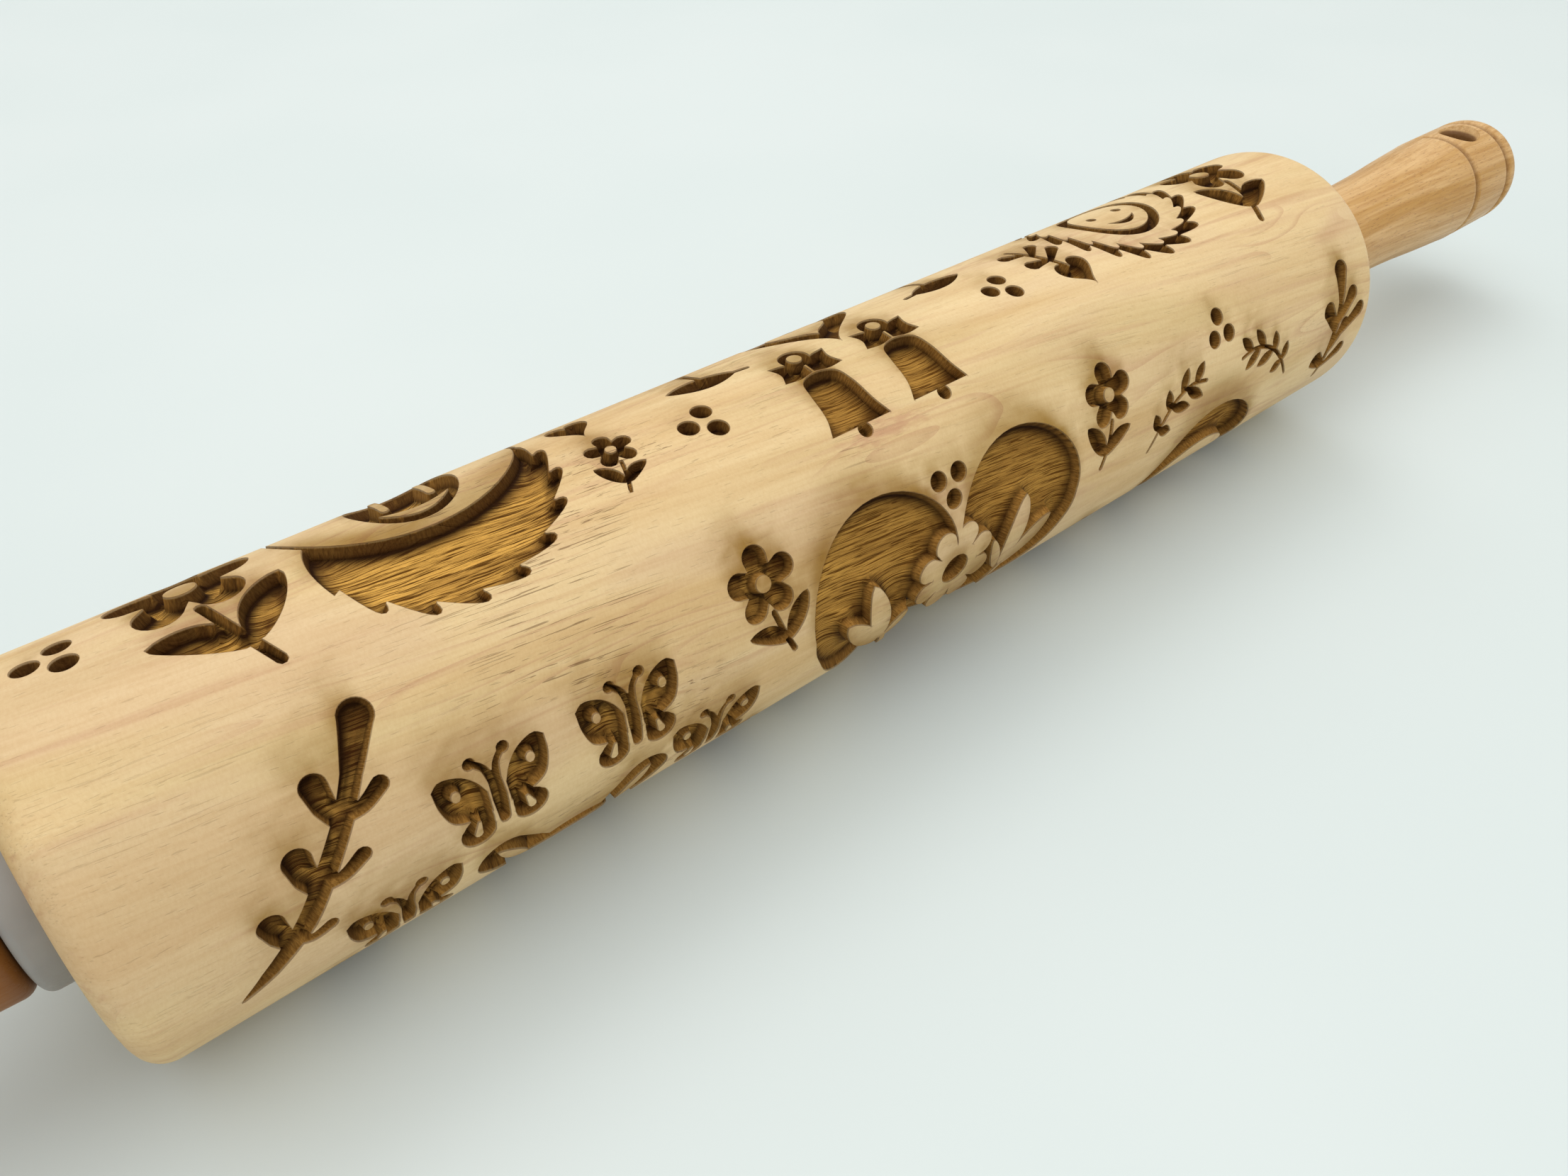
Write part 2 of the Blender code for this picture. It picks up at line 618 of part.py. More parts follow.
def main():
    clear_scene()
    parts = make_collection("engraved_rolling_pin")
    cutters = make_collection("cutters")
    pale_wood = make_material("pale_wood", (0.78, 0.62, 0.38), 0.62)
    beech = make_material("beech", (0.58, 0.38, 0.18), 0.45)
    nylon = make_material("white_nylon", (0.72, 0.72, 0.74), 0.5)
    steel = make_material("steel", (0.60, 0.60, 0.61), 0.3, metallic=1.0)
    make_barrel(pale_wood, parts)
    make_axle(steel, parts)
    for label, side in (("left", -1), ("right", 1)):
        make_handle(label + "_handle", side, side > 0, beech, parts, cutters)
        turned(label + "_bush", bush_profile(), nylon, parts, side=side)
        insert_start = HANDLE_START + INSERT_SETBACK
        insert = tube_profile(insert_start, insert_start + INSERT_LENGTH, AXLE_RADIUS + GAP, INSERT_RADIUS)
        turned(label + "_insert", insert, steel, parts, SMALL_STEPS, side)
        washer = tube_profile(FLANGE_END - WASHER_THICKNESS, FLANGE_END, AXLE_RADIUS + GAP, WASHER_RADIUS)
        turned(label + "_washer", washer, steel, parts, SMALL_STEPS, side)
        make_ring(label + "_ring", side, steel, parts, cutters)


main()
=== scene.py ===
"""Looks of an engraved wooden rolling pin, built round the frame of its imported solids.

Metres, +Z up, the axle along X, as in the frame. The engraving is drawn flat, in millimetres,
and rolled round the barrel. Everything that was turned on a lathe is a profile spun about the
axle, and every finish is procedural.
"""

import logging
import math
from dataclasses import dataclass, field
from enum import Enum, IntEnum
from typing import Any, Sequence

import bmesh
import bpy
import numpy as np
from mathutils import Matrix, Vector, noise
from mathutils.geometry import delaunay_2d_cdt
from mathutils.kdtree import KDTree


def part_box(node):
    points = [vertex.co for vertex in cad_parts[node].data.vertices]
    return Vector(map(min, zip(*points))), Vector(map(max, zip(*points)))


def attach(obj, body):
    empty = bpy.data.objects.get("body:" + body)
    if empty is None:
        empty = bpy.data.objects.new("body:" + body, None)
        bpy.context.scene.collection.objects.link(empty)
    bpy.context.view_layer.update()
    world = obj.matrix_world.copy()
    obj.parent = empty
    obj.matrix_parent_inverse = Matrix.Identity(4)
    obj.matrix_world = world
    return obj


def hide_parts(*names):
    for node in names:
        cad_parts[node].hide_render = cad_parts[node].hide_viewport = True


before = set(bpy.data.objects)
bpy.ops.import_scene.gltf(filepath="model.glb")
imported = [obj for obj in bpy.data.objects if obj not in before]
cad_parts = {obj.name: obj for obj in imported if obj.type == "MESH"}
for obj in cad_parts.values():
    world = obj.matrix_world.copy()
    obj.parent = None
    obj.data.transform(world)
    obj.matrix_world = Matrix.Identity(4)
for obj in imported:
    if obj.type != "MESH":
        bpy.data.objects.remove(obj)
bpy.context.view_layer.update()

LOG = logging.getLogger("rolling_pin")
MM = 0.001

Point = tuple[float, float]
Place3 = tuple[float, float, float]
Outline = list[Point]
Pairs = list[tuple[int, int]]


# ---------------------------------------------------------------------------------------------
# The engraving, drawn flat. x runs along the barrel from its middle, a runs round it, downwards
# for someone in front of it. Both are in millimetres, and a is 0 on the front line.
# ---------------------------------------------------------------------------------------------


class Level(IntEnum):
    """What a drawn outline leaves behind: the barrel's surface, or a pocket cut into it."""

    SURFACE = 0
    POCKET = 1


Shapes = Sequence[tuple[Outline, Level]]


@dataclass(frozen=True)
class Place:
    """Where a motif lies on the drawing.

    Attributes:
        x: Place of its middle or foot along the barrel.
        a: Place of its middle or foot round the barrel.
        size: Scale of the motif.
        flip: Whether it is mirrored left to right.
        turn: Turn in degrees, clockwise for someone in front of it.
    """

    x: float
    a: float
    size: float = 1.0
    flip: bool = False
    turn: float = 0.0

    def at(self, point: Point) -> Point:
        """Takes a point of the motif to the drawing.

        Args:
            point: A point about the motif's middle or foot.

        Returns:
            Its place on the drawing.
        """
        along = -point[0] if self.flip else point[0]
        cos, sin = math.cos(math.radians(self.turn)), math.sin(math.radians(self.turn))
        return (
            self.x + self.size * (cos * along - sin * point[1]),
            self.a + self.size * (sin * along + cos * point[1]),
        )


def hermite(start: Vector, leave: Vector, end: Vector, arrive: Vector, share: float) -> Vector:
    """A point of the curve that leaves start and arrives at end with the given tangents.

    Args:
        start: Where the curve starts.
        leave: Its tangent there.
        end: Where it ends.
        arrive: Its tangent there.
        share: How far along the curve the point is, 0 to 1.

    Returns:
        The point.
    """
    square, cube = share**2, share**3
    return (
        start * (2 * cube - 3 * square + 1)
        + leave * (cube - 2 * square + share)
        + end * (3 * square - 2 * cube)
        + arrive * (cube - square)
    )


def curve_through(points: Sequence[Point], steps: int = 6) -> Outline:
    """An open smooth curve through the points.

    Args:
        points: The points it passes through.
        steps: Points drawn from one given point to the next.

    Returns:
        The curve.
    """
    knots = [Vector(point) for point in points]
    curve = []
    for i in range(len(knots) - 1):
        before, after = knots[max(i - 1, 0)], knots[min(i + 2, len(knots) - 1)]
        leave, arrive = (knots[i + 1] - before) / 2, (after - knots[i]) / 2
        for step in range(steps):
            curve.append(tuple(hermite(knots[i], leave, knots[i + 1], arrive, step / steps)))
    return curve + [tuple(knots[-1])]


def closed_curve(points: Sequence[Point], corners: Sequence[int] = (), steps: int = 6) -> Outline:
    """A closed smooth curve through the points.

    Args:
        points: The points it passes through.
        corners: Indices of the points where it turns sharply.
        steps: Points drawn from one given point to the next.

    Returns:
        The outline.
    """
    knots = [Vector(point) for point in points]
    count = len(knots)
    curve = []
    for i in range(count):
        start, end = knots[i], knots[(i + 1) % count]
        leave = end - start if i in corners else (end - knots[i - 1]) / 2
        following = knots[(i + 2) % count]
        arrive = end - start if (i + 1) % count in corners else (following - start) / 2
        for step in range(steps):
            curve.append(tuple(hermite(start, leave, end, arrive, step / steps)))
    return curve


def oval(x: float, a: float, rx: float, ra: float | None = None) -> Outline:
    """An upright oval, or a circle where only one radius is given.

    Args:
        x: Middle, along the barrel.
        a: Middle, round the barrel.
        rx: Radius along the barrel.
        ra: Radius round the barrel.

    Returns:
        The outline.
    """
    ra = rx if ra is None else ra
    sides = 48
    turns = [2 * math.pi * i / sides for i in range(sides)]
    return [(x + rx * math.cos(turn), a + ra * math.sin(turn)) for turn in turns]


def ribbon(points: Sequence[Point], half_widths: Sequence[float]) -> Outline:
    """A stroke that follows a smooth curve, changes its width along it and has round ends.

    Args:
        points: The points that its middle line passes through.
        half_widths: Half its width at even steps from its start to its end.

    Returns:
        The outline.
    """
    centres = [Vector(point) for point in curve_through(points)]
    shares = np.linspace(0, len(half_widths) - 1, len(centres))
    halves = np.interp(shares, range(len(half_widths)), half_widths)
    left, right = [], []
    for i, (centre, half) in enumerate(zip(centres, halves)):
        along = (centres[min(i + 1, len(centres) - 1)] - centres[max(i - 1, 0)]).normalized()
        side = Vector((-along.y, along.x)) * half
        left.append(tuple(centre + side))
        right.append(tuple(centre - side))
    caps = []
    for tip, before, half in (
        (centres[-1], centres[-2], halves[-1]),
        (centres[0], centres[1], halves[0]),
    ):
        heading = math.atan2(tip.y - before.y, tip.x - before.x)
        turns = [heading + math.pi / 2 - math.pi * i / 12 for i in range(1, 12)]
        caps.append([(tip.x + half * math.cos(t), tip.y + half * math.sin(t)) for t in turns])
    return left + caps[0] + right[::-1] + caps[1]


def leaf(base: Point, tip: Point, width: float, bend: float = 0.0, blunt: float = 0.75) -> Outline:
    """A leaf with a point at each end.

    Args:
        base: Where it leaves its stem.
        tip: Its far point.
        width: Width at its middle.
        bend: How far its middle line bows to the left of the way to its tip.
        blunt: Below 1 its sides are full, above 1 they are hollow near the points.

    Returns:
        The outline.
    """
    start, along = Vector(base), Vector(tip) - Vector(base)
    side = Vector((along.y, -along.x)).normalized()
    near, far = [], []
    for i in range(17):
        share = i / 16
        swell = math.sin(math.pi * share) ** blunt * width / 2
        bow = bend * 4 * share * (1 - share)
        near.append(tuple(start + along * share + side * (bow + swell)))
        far.append(tuple(start + along * share + side * (bow - swell)))
    return near + far[-2:0:-1]


def heart(tip: Point, width: float, height: float) -> Outline:
    """A heart that stands on its tip.

    Args:
        tip: Its lowest point.
        width: Its greatest width.
        height: Its height over the tip.

    Returns:
        The outline.
    """
    outline = []
    sides = 60
    for i in range(sides):
        t = 2 * math.pi * i / sides
        across = math.sin(t) ** 3
        # The classic heart curve, which runs from -17 at its tip to 12, brought to 0..1.
        up = (13 * math.cos(t) - 5 * math.cos(2 * t) - 2 * math.cos(3 * t) - math.cos(4 * t) + 17) / 29
        outline.append((tip[0] + width / 2 * across, tip[1] - height * up))
    return outline


def hooked_rim(rx: float, ra: float, teeth: int, tooth: float, plain: int = 0) -> Outline:
    """An oval whose rim is a ring of teeth, each a long swell with a hooked end.

    Args:
        rx: Half its width, over the teeth.
        ra: Half its height, over the teeth.
        teeth: How many teeth would go all the way round.
        tooth: Depth of the notch between two teeth.
        plain: How many of them are left out, from the left side downwards.

    Returns:
        The outline, about its middle.
    """
    # One tooth as (share of its length, share of its depth): a slow swell and a hooked end.
    swell = (
        (0.0, 1.0), (0.22, 0.8), (0.46, 0.53), (0.7, 0.24), (0.86, 0.06),
        (0.97, 0.0), (1.05, 0.1), (1.08, 0.34), (1.05, 0.62), (1.0, 0.84),
    )
    first = math.pi + 0.43
    outline = []
    for i in range(teeth):
        for share, dip in swell:
            if i < plain:
                dip = 0.45 + 0.9 * (plain - i - share)
            turn = first - 2 * math.pi * (i + share) / teeth
            outline.append(((rx - tooth * dip) * math.cos(turn), (ra - tooth * dip) * math.sin(turn)))
    return outline


@dataclass
class Drawing:
    """The whole engraving as a list of outlines, where a later one overrules an earlier one.

    Attributes:
        shortest_edge: Points of a smooth stretch closer than this are thinned out.
        corner: Turn in degrees past which a point is a corner and always stays.
        shapes: The outlines and their levels.
    """

    shortest_edge: float = 0.42
    corner: float = 24.0
    shapes: list[tuple[Outline, Level]] = field(default_factory=list)

    def add(self, place: Place, outline: Outline, level: Level = Level.POCKET) -> None:
        """Adds an outline, anticlockwise on the sheet and thinned out.

        Args:
            place: Where its motif lies.
            outline: The outline, about the motif's middle or foot.
            level: What it leaves behind.
        """
        points = self._thinned([place.at(point) for point in outline])
        following = points[1:] + points[:1]
        area = sum(x * b - y * a for (x, a), (y, b) in zip(points, following))
        self.shapes.append((points if area > 0 else points[::-1], level))

    def _thinned(self, points: Outline) -> Outline:
        """Leaves out points that are closer than the shortest edge and no corner.

        Args:
            points: A closed outline.

        Returns:
            What is left of it.
        """
        kept = [points[0]]
        for i in range(1, len(points)):
            here, before = Vector(points[i]), Vector(points[i - 1])
            after = Vector(points[(i + 1) % len(points)])
            if (here - before).length < 1e-4 or (after - here).length < 1e-4:
                continue
            turn = math.degrees((here - before).angle(after - here))
            gap = (here - Vector(kept[-1])).length
            if gap >= self.shortest_edge or turn > self.corner:
                kept.append(points[i])
        return kept

    def berries(self, place: Place, radius: float = 1.75, spread: float = 2.6) -> None:
        """Three round berries about a point.

        Args:
            place: Where they lie.
            radius: Radius of a berry.
            spread: Distance of their middles from the point.
        """
        for turn in (60.0, 180.0, 300.0):
            centre = (spread * math.cos(math.radians(turn)), spread * math.sin(math.radians(turn)))
            self.add(place, oval(*centre, radius))

    def flower(self, place: Place) -> None:
        """Five round petals with a raised eye, on a leaning stem with two leaves.

        Args:
            place: Where it lies.
        """
        self.add(place, ribbon([(0.6, 7.6), (2.6, 14.2), (5.4, 20.8)], [0.75, 0.8, 0.8]))
        self.add(place, leaf((3.6, 17.4), (-7.2, 11.3), 5.0, bend=-1.3, blunt=0.62))
        self.add(place, leaf((3.9, 17.2), (11.0, 6.3), 5.6, bend=0.5, blunt=0.62))
        for i in range(5):
            turn = 2 * math.pi * i / 5 - math.pi / 2
            head = (6.4 * math.cos(turn), 6.4 * math.sin(turn))
            self.add(place, ribbon([(0.0, 0.0), head], [1.5, 2.9, 3.25]))
        self.add(place, oval(0, 0, 2.1), Level.SURFACE)

    def bud_sprig(self, place: Place) -> None:
        """A leaning stem with three pairs of buds and one at its top, drawn from its foot.

        Args:
            place: Where it lies.
        """
        stem = [(0, 0), (3.9, -2.9), (9.7, -8.2), (14.4, -14.2), (19.2, -20.4)]
        self.add(place, ribbon(stem, [0.3, 1.25, 1.5, 1.4, 1.3]))
        self.add(place, ribbon([(18.4, -19.4), (21.4, -24.0), (24.9, -30.2)], [1.2, 1.35, 2.3]))
        buds = (
            ((7.6, -5.6), (6.8, -8.4), (6.3, -10.9), 1.75),
            ((12.6, -11.8), (12.0, -14.6), (11.8, -17.3), 1.85),
            ((17.8, -19.0), (17.2, -21.9), (17.0, -24.7), 1.75),
            ((8.6, -6.0), (10.2, -5.4), (12.4, -6.0), 0.95),
            ((13.2, -12.2), (16.0, -12.4), (18.8, -13.8), 1.15),
            ((18.2, -19.4), (21.2, -19.8), (23.9, -21.3), 1.2),
        )
        for foot, middle, head, radius in buds:
            self.add(place, ribbon([foot, middle, head], [0.7, 0.85 * radius, radius]))

    def butterfly(self, place: Place) -> None:
        """Two pairs of spotted wings, a body set off by thin ridges, and two feelers.

        Args:
            place: Where it lies.
        """
        wing = [
            (1.35, -0.9), (2.4, -3.1), (4.2, -4.9), (6.7, -5.7), (8.1, -4.8),
            (7.9, -1.7), (6.8, 1.2), (4.6, 2.4), (1.35, 2.5),
        ]
        for flip in (False, True):
            side = Place(place.x, place.a, place.size, flip != place.flip, place.turn)
            self.add(side, closed_curve(wing, corners=(0, 4, 8)))
            self.add(side, ribbon([(2.2, 2.2), (3.3, 3.8), (3.9, 4.9)], [0.85, 2.2, 2.6]))
            self.add(side, ribbon([(0.4, -2.4), (0.9, -4.4), (2.2, -5.8)], [0.6, 0.5, 0.5]))
            self.add(side, oval(2.4, -5.9, 0.9))
            self.add(side, oval(5.4, -2.5, 0.65, 0.85), Level.SURFACE)
            self.add(side, ribbon([(3.5, 3.2), (4.0, 5.2)], [0.2, 0.6]), Level.SURFACE)
        self.add(place, ribbon([(0, -2.8), (0, 1.0), (0, 5.0)], [0.9, 1.05, 0.8]))

    def bell(self, place: Place) -> None:
        """A bell with its clapper, under a bow with a ring; drawn from the middle of its mouth.

        Args:
            place: Where it lies.
        """
        flank = [(6.1, 0), (4.9, -3.4), (4.3, -8.2), (3.3, -11.3)]
        body = [(-6.1, 0), *flank, (0, -12.4), *((-x, a) for x, a in flank[:0:-1])]
        self.add(place, closed_curve(body, corners=(0, 1)))
        self.add(place, oval(0, 0.9, 1.35))
        bow = [
            (0.2, -12.7), (3.0, -12.1), (5.9, -12.4), (5.0, -14.8),
            (5.7, -17.4), (2.9, -16.9), (0.2, -15.4),
        ]
        for flip in (False, True):
            side = Place(place.x, place.a, place.size, flip, place.turn)
            self.add(side, closed_curve(bow, corners=(0, 2, 4, 6)))
        self.add(place, oval(0, -17.6, 2.75))
        self.add(place, oval(0, -17.6, 1.3), Level.SURFACE)

    def ruff_face(self, place: Place) -> None:
        """A pocket with a hooked rim round a raised head, whose muzzle is a pocket again.

        Args:
            place: Where it lies.
        """
        self.add(place, hooked_rim(20.4, 20.4, 19, 1.9, plain=3))
        self.add(place, oval(0, -10.7, 19.2, 17.2))
        self.add(place, oval(0, -11.0, 18.5, 16.6), Level.SURFACE)
        self.add(place, oval(0, -7.2, 8.1, 10.8))
        for along in (-3.7, 3.2):
            self.add(place, ribbon([(along, -9.4), (along, -3.2)], [0.55, 0.6]), Level.SURFACE)
        self.add(place, leaf((-5.2, -1.6), (5.2, -1.6), 1.7, bend=-2.4), Level.SURFACE)

    def ring_face(self, place: Place) -> None:
        """The same head in lines: a hooked ring, a plain ring, two eyes and a smile.

        Args:
            place: Where it lies.
        """
        self.add(place, hooked_rim(19.2, 18.2, 19, 2.4))
        self.add(place, hooked_rim(16.2, 15.2, 19, 1.5), Level.SURFACE)
        self.add(place, oval(0, 1.0, 9.8, 10.1))
        self.add(place, oval(0, 1.0, 7.6, 7.9), Level.SURFACE)
        for along in (-3.7, 3.8):
            self.add(place, oval(along, 0.0, 0.95, 1.1))
        self.add(place, leaf((-3.9, 4.2), (4.1, 3.8), 1.5, bend=-1.6))

    def leaf_on_stalks(self, place: Place) -> None:
        """A broad leaf with one stalk at its end and another on its back.

        Args:
            place: Where it lies.
        """
        self.add(place, leaf((6.4, 0.7), (-6.4, -0.7), 5.2))
        self.add(place, ribbon([(5.0, 0.6), (8.4, 1.1)], [0.5, 0.45]))
        self.add(place, ribbon([(1.0, -1.6), (0.8, -5.0), (1.2, -8.6)], [0.5, 0.55, 0.9]))

    def heart_sprig(self, place: Place) -> None:
        """A small heart that hangs from a stalk with buds to both sides; drawn from its tip.

        Args:
            place: Where it lies.
        """
        self.add(Place(place.x, place.a, place.size, place.flip, place.turn - 12), heart((0, 0), 8.2, 8.0))
        self.add(place, ribbon([(-1.8, -6.4), (-3.8, -11.6), (-5.6, -17.8)], [0.55, 0.6, 0.5]))
        for foot, head, radius in (
            ((-3.0, -9.6), (-7.0, -9.9), 1.6),
            ((-2.8, -9.2), (1.2, -12.6), 1.3),
            ((-4.0, -12.6), (-0.6, -16.4), 1.3),
            ((-4.6, -14.2), (-8.2, -15.6), 1.5),
        ):
            self.add(place, ribbon([foot, head], [0.5, radius]))

    def fern(self, place: Place) -> None:
        """A slender bowed stem with narrow leaves to both sides, drawn from its foot.

        Args:
            place: Where it lies.
        """
        stem = [(0, 0), (3.2, -4.7), (6.9, -8.0), (12.2, -9.6), (16.7, -9.0)]
        self.add(place, ribbon(stem, [0.3, 0.5, 0.45, 0.4]))
        for base, tip in (
            ((2.4, -3.6), (1.0, -7.6)),
            ((5.2, -6.7), (5.3, -11.0)),
            ((8.8, -8.8), (11.6, -13.2)),
            ((13.0, -9.4), (16.4, -12.9)),
            ((2.4, -3.8), (6.2, -2.4)),
            ((5.8, -7.2), (11.6, -5.6)),
            ((10.4, -9.2), (15.6, -6.2)),
        ):
            self.add(place, leaf(base, tip, 2.4))

    def small_sprig(self, place: Place) -> None:
        """An upright stem with plump buds close together, drawn from its foot.

        Args:
            place: Where it lies.
        """
        self.add(place, ribbon([(0, 0), (0.4, -9.5), (2.2, -20.5)], [0.6, 1.0, 0.95]))
        self.add(place, ribbon([(1.6, -17.0), (2.3, -23.8)], [0.8, 1.5, 2.2]))
        for foot, head, radius in (
            ((0.9, -11.0), (-2.8, -16.6), 1.9),
            ((1.0, -12.6), (5.7, -17.8), 1.9),
            ((0.7, -8.8), (9.0, -13.6), 1.8),
            ((0.5, -6.0), (3.9, -11.9), 1.5),
            ((0.3, -2.6), (-3.7, -5.6), 2.0),
            ((0.4, -2.2), (5.2, -5.2), 1.9),
        ):
            self.add(place, ribbon([foot, head], [0.6, 0.75 * radius, radius]))

    def garland_heart(self, place: Place) -> None:
        """A great heart with a raised daisy and raised leaves across it; drawn from its notch.

        Args:
            place: Where it lies.
        """
        self.add(place, oval(-15.5, 1.0, 15.7))
        self.add(place, oval(15.9, 0.6, 15.1))
        below = [
            (-31.0, 3.0), (-29.6, 9.4), (-22.0, 20.6), (0.2, 36.0),
            (22.0, 20.0), (29.6, 8.8), (30.9, 2.0), (0.0, 0.4),
        ]
        self.add(place, closed_curve(below, corners=(0, 3, 6, 7)))
        for base, tip, width in (
            ((-14.6, 15.0), (-18.6, -0.6), 4.3),
            ((-15.2, 15.4), (-24.0, 5.2), 4.2),
            ((-14.0, 15.2), (-9.9, 9.6), 2.2),
            ((13.6, 13.4), (17.0, -2.0), 4.5),
            ((14.2, 13.8), (24.2, 5.4), 4.2),
            ((12.6, 13.4), (9.4, 4.2), 2.2),
        ):
            self.add(place, leaf(base, tip, width, blunt=0.6), Level.SURFACE)
        for side in (-1, 1):
            self.add(place, ribbon([(side * 14.2, 13.8), (side * 12.4, 19.0)], [0.5, 0.7]), Level.SURFACE)
        for i in range(8):
            turn = 2 * math.pi * (i + 0.5) / 8 - math.pi / 2
            head = (6.6 * math.cos(turn), 5.6 + 6.6 * math.sin(turn))
            self.add(place, ribbon([(0.0, 5.6), head], [0.8, 1.75, 2.35]), Level.SURFACE)
        self.add(place, oval(0, 5.6, 3.0))

    def eared_head(self, place: Place) -> None:
        """A round head with two upright ears and a raised face, drawn from its crown.

        Args:
            place: Where it lies.
        """
        self.add(place, oval(0, 12.5, 12.6))
        for side in (-1, 1):
            ear = [(side * 5.0, 6.0), (side * 9.0, 1.6), (side * 11.6, -1.4)]
            self.add(place, ribbon(ear, [3.6, 4.4, 4.2]))
            self.add(place, leaf((side * 7.4, 4.2), (side * 12.6, -3.2), 2.0), Level.SURFACE)
        self.add(place, oval(0, 14.5, 8.8, 7.8), Level.SURFACE)
        for side in (-1, 1):
            self.add(place, oval(side * 3.4, 12.6, 1.1))
        self.add(place, leaf((-3.4, 16.2), (3.4, 16.2), 1.5, bend=-1.2))

    def framed_heart(self, place: Place) -> None:
        """A broad heart with a raised heart inside, drawn from its tip.

        Args:
            place: Where it lies.
        """
        self.add(place, heart((0, 0), 22.0, 19.0))
        self.add(place, heart((-0.4, -5.4), 12.0, 10.0), Level.SURFACE)

    def front(self) -> None:
        """The half of the engraving round the front line."""
        self.berries(Place(-119.7, -27.4))
        self.flower(Place(-103.3, -32.2))
        self.bud_sprig(Place(-118.8, 29.2))
        self.ruff_face(Place(-72.2, -27.0))
        for x, a in ((-81.9, 17.2), (-60.8, 17.0), (-97.1, 31.2), (-46.8, 30.5)):
            self.butterfly(Place(x, a))
        self.add(Place(-45.3, -27.0), heart((0, 0), 6.8, 8.8))
        self.flower(Place(-44.6, -21.2, 0.42, flip=True))
        self.berries(Place(-29.8, -18.7))
        self.leaf_on_stalks(Place(-23.0, -28.5))
        self.bell(Place(-7.5, -6.5))
        self.bell(Place(9.8, -6.5))
        self.framed_heart(Place(2.5, -23.6))
        self.leaf_on_stalks(Place(29.8, -29.3, flip=True))
        self.berries(Place(36.8, -19.9))
        self.heart_sprig(Place(54.6, -12.0))
        self.ring_face(Place(76.4, -29.0))
        self.flower(Place(108.3, -29.3, 0.94, flip=True))
        self.flower(Place(-35.4, 8.45, 0.64))
        self.garland_heart(Place(3.2, 19.2))
        self.berries(Place(3.3, 8.4, turn=-90))
        self.flower(Place(43.4, 7.6, 0.63, flip=True))
        self.berries(Place(76.9, 6.5, turn=90))
        self.fern(Place(54.3, 23.5))
        self.fern(Place(99.3, 23.2, flip=True))
        self.small_sprig(Place(116.2, 31.0))
        self.eared_head(Place(-71.2, 33.0))
        self.add(Place(77.0, 38.8), oval(0, 0, 16.8))
        self.add(Place(77.0, 41.5), oval(0, 0, 11.5, 10.5), Level.SURFACE)

    def back(self) -> None:
        """The rest of the engraving, with the same motifs."""
        self.flower(Place(-106.0, 46.0, 0.63))
        self.bell(Place(-38.0, 58.0))
        self.berries(Place(-22.0, 51.0))
        self.flower(Place(45.0, 44.0, 0.63, flip=True))
        self.flower(Place(104.0, 46.0, 0.63, flip=True))
        self.garland_heart(Place(0.0, -91.5, 0.8))
        for x, turn in ((-46.0, 8), (46.0, -8), (-70.0, -6), (70.0, 6)):
            self.butterfly(Place(x, -68.0 if abs(x) < 60 else -76.0, turn=turn))
        self.eared_head(Place(-104.0, -92.0))
        self.eared_head(Place(104.0, -92.0))
        for x, flip in ((-52.0, True), (52.0, False)):
            self.bud_sprig(Place(x, -78.0, 0.8, flip=flip))
        self.flower(Place(-32.0, -62.0, 0.5))
        self.flower(Place(32.0, -62.0, 0.5, flip=True))
        self.berries(Place(-93.0, -58.0))
        self.berries(Place(112.0, -56.0))


def levels_at(points: np.ndarray, shapes: Shapes) -> np.ndarray:
    """The level of the drawing at each point, by the last outline that holds it.

    Args:
        points: N by 2 places on the drawing.
        shapes: The drawing's outlines and levels.

    Returns:
        N levels.
    """
    levels = np.zeros(len(points), int)
    for outline, level in shapes:
        corners = np.array(outline)
        low, high = corners.min(0), corners.max(0)
        near = np.nonzero(((points >= low) & (points <= high)).all(1))[0]
        if not len(near):
            continue
        x, a = points[near, 0][:, None], points[near, 1][:, None]
        x0, a0 = corners[:, 0], corners[:, 1]
        x1, a1 = np.roll(x0, -1), np.roll(a0, -1)
        rise = np.where(a1 == a0, 1e-12, a1 - a0)
        crosses = ((a0 > a) != (a1 > a)) & (x < (x1 - x0) * (a - a0) / rise + x0)
        inside = crosses.sum(1) % 2 == 1
        levels[near[inside]] = int(level)
    return levels


# ---------------------------------------------------------------------------------------------
# Finishes.
# ---------------------------------------------------------------------------------------------


def linear(colour: str) -> tuple[float, float, float, float]:
    """An sRGB hex colour, such as d9c08a, as linear red, green, blue and alpha."""
    channels = [int(colour[i : i + 2], 16) / 255 for i in (0, 2, 4)]
    straight = [c / 12.92 if c <= 0.04045 else ((c + 0.055) / 1.055) ** 2.4 for c in channels]
    return (*straight, 1.0)


def add_node(
    tree: bpy.types.NodeTree,
    kind: str,
    settings: dict[str, Any] | None = None,
    inputs: dict[Any, Any] | None = None,
) -> bpy.types.Node:
    """Adds a node to a material.

    Args:
        tree: The material's node tree.
        kind: The node's type, without its ShaderNode prefix.
        settings: The node's own properties, by name.
        inputs: For each input, by name or index, a value or the output that feeds it.

    Returns:
        The node.
    """
    node = tree.nodes.new("ShaderNode" + kind)
    for name, value in (settings or {}).items():
        setattr(node, name, value)
    for name, value in (inputs or {}).items():
        if isinstance(value, bpy.types.NodeSocket):
            tree.links.new(value, node.inputs[name])
        else:
            node.inputs[name].default_value = value
    return node


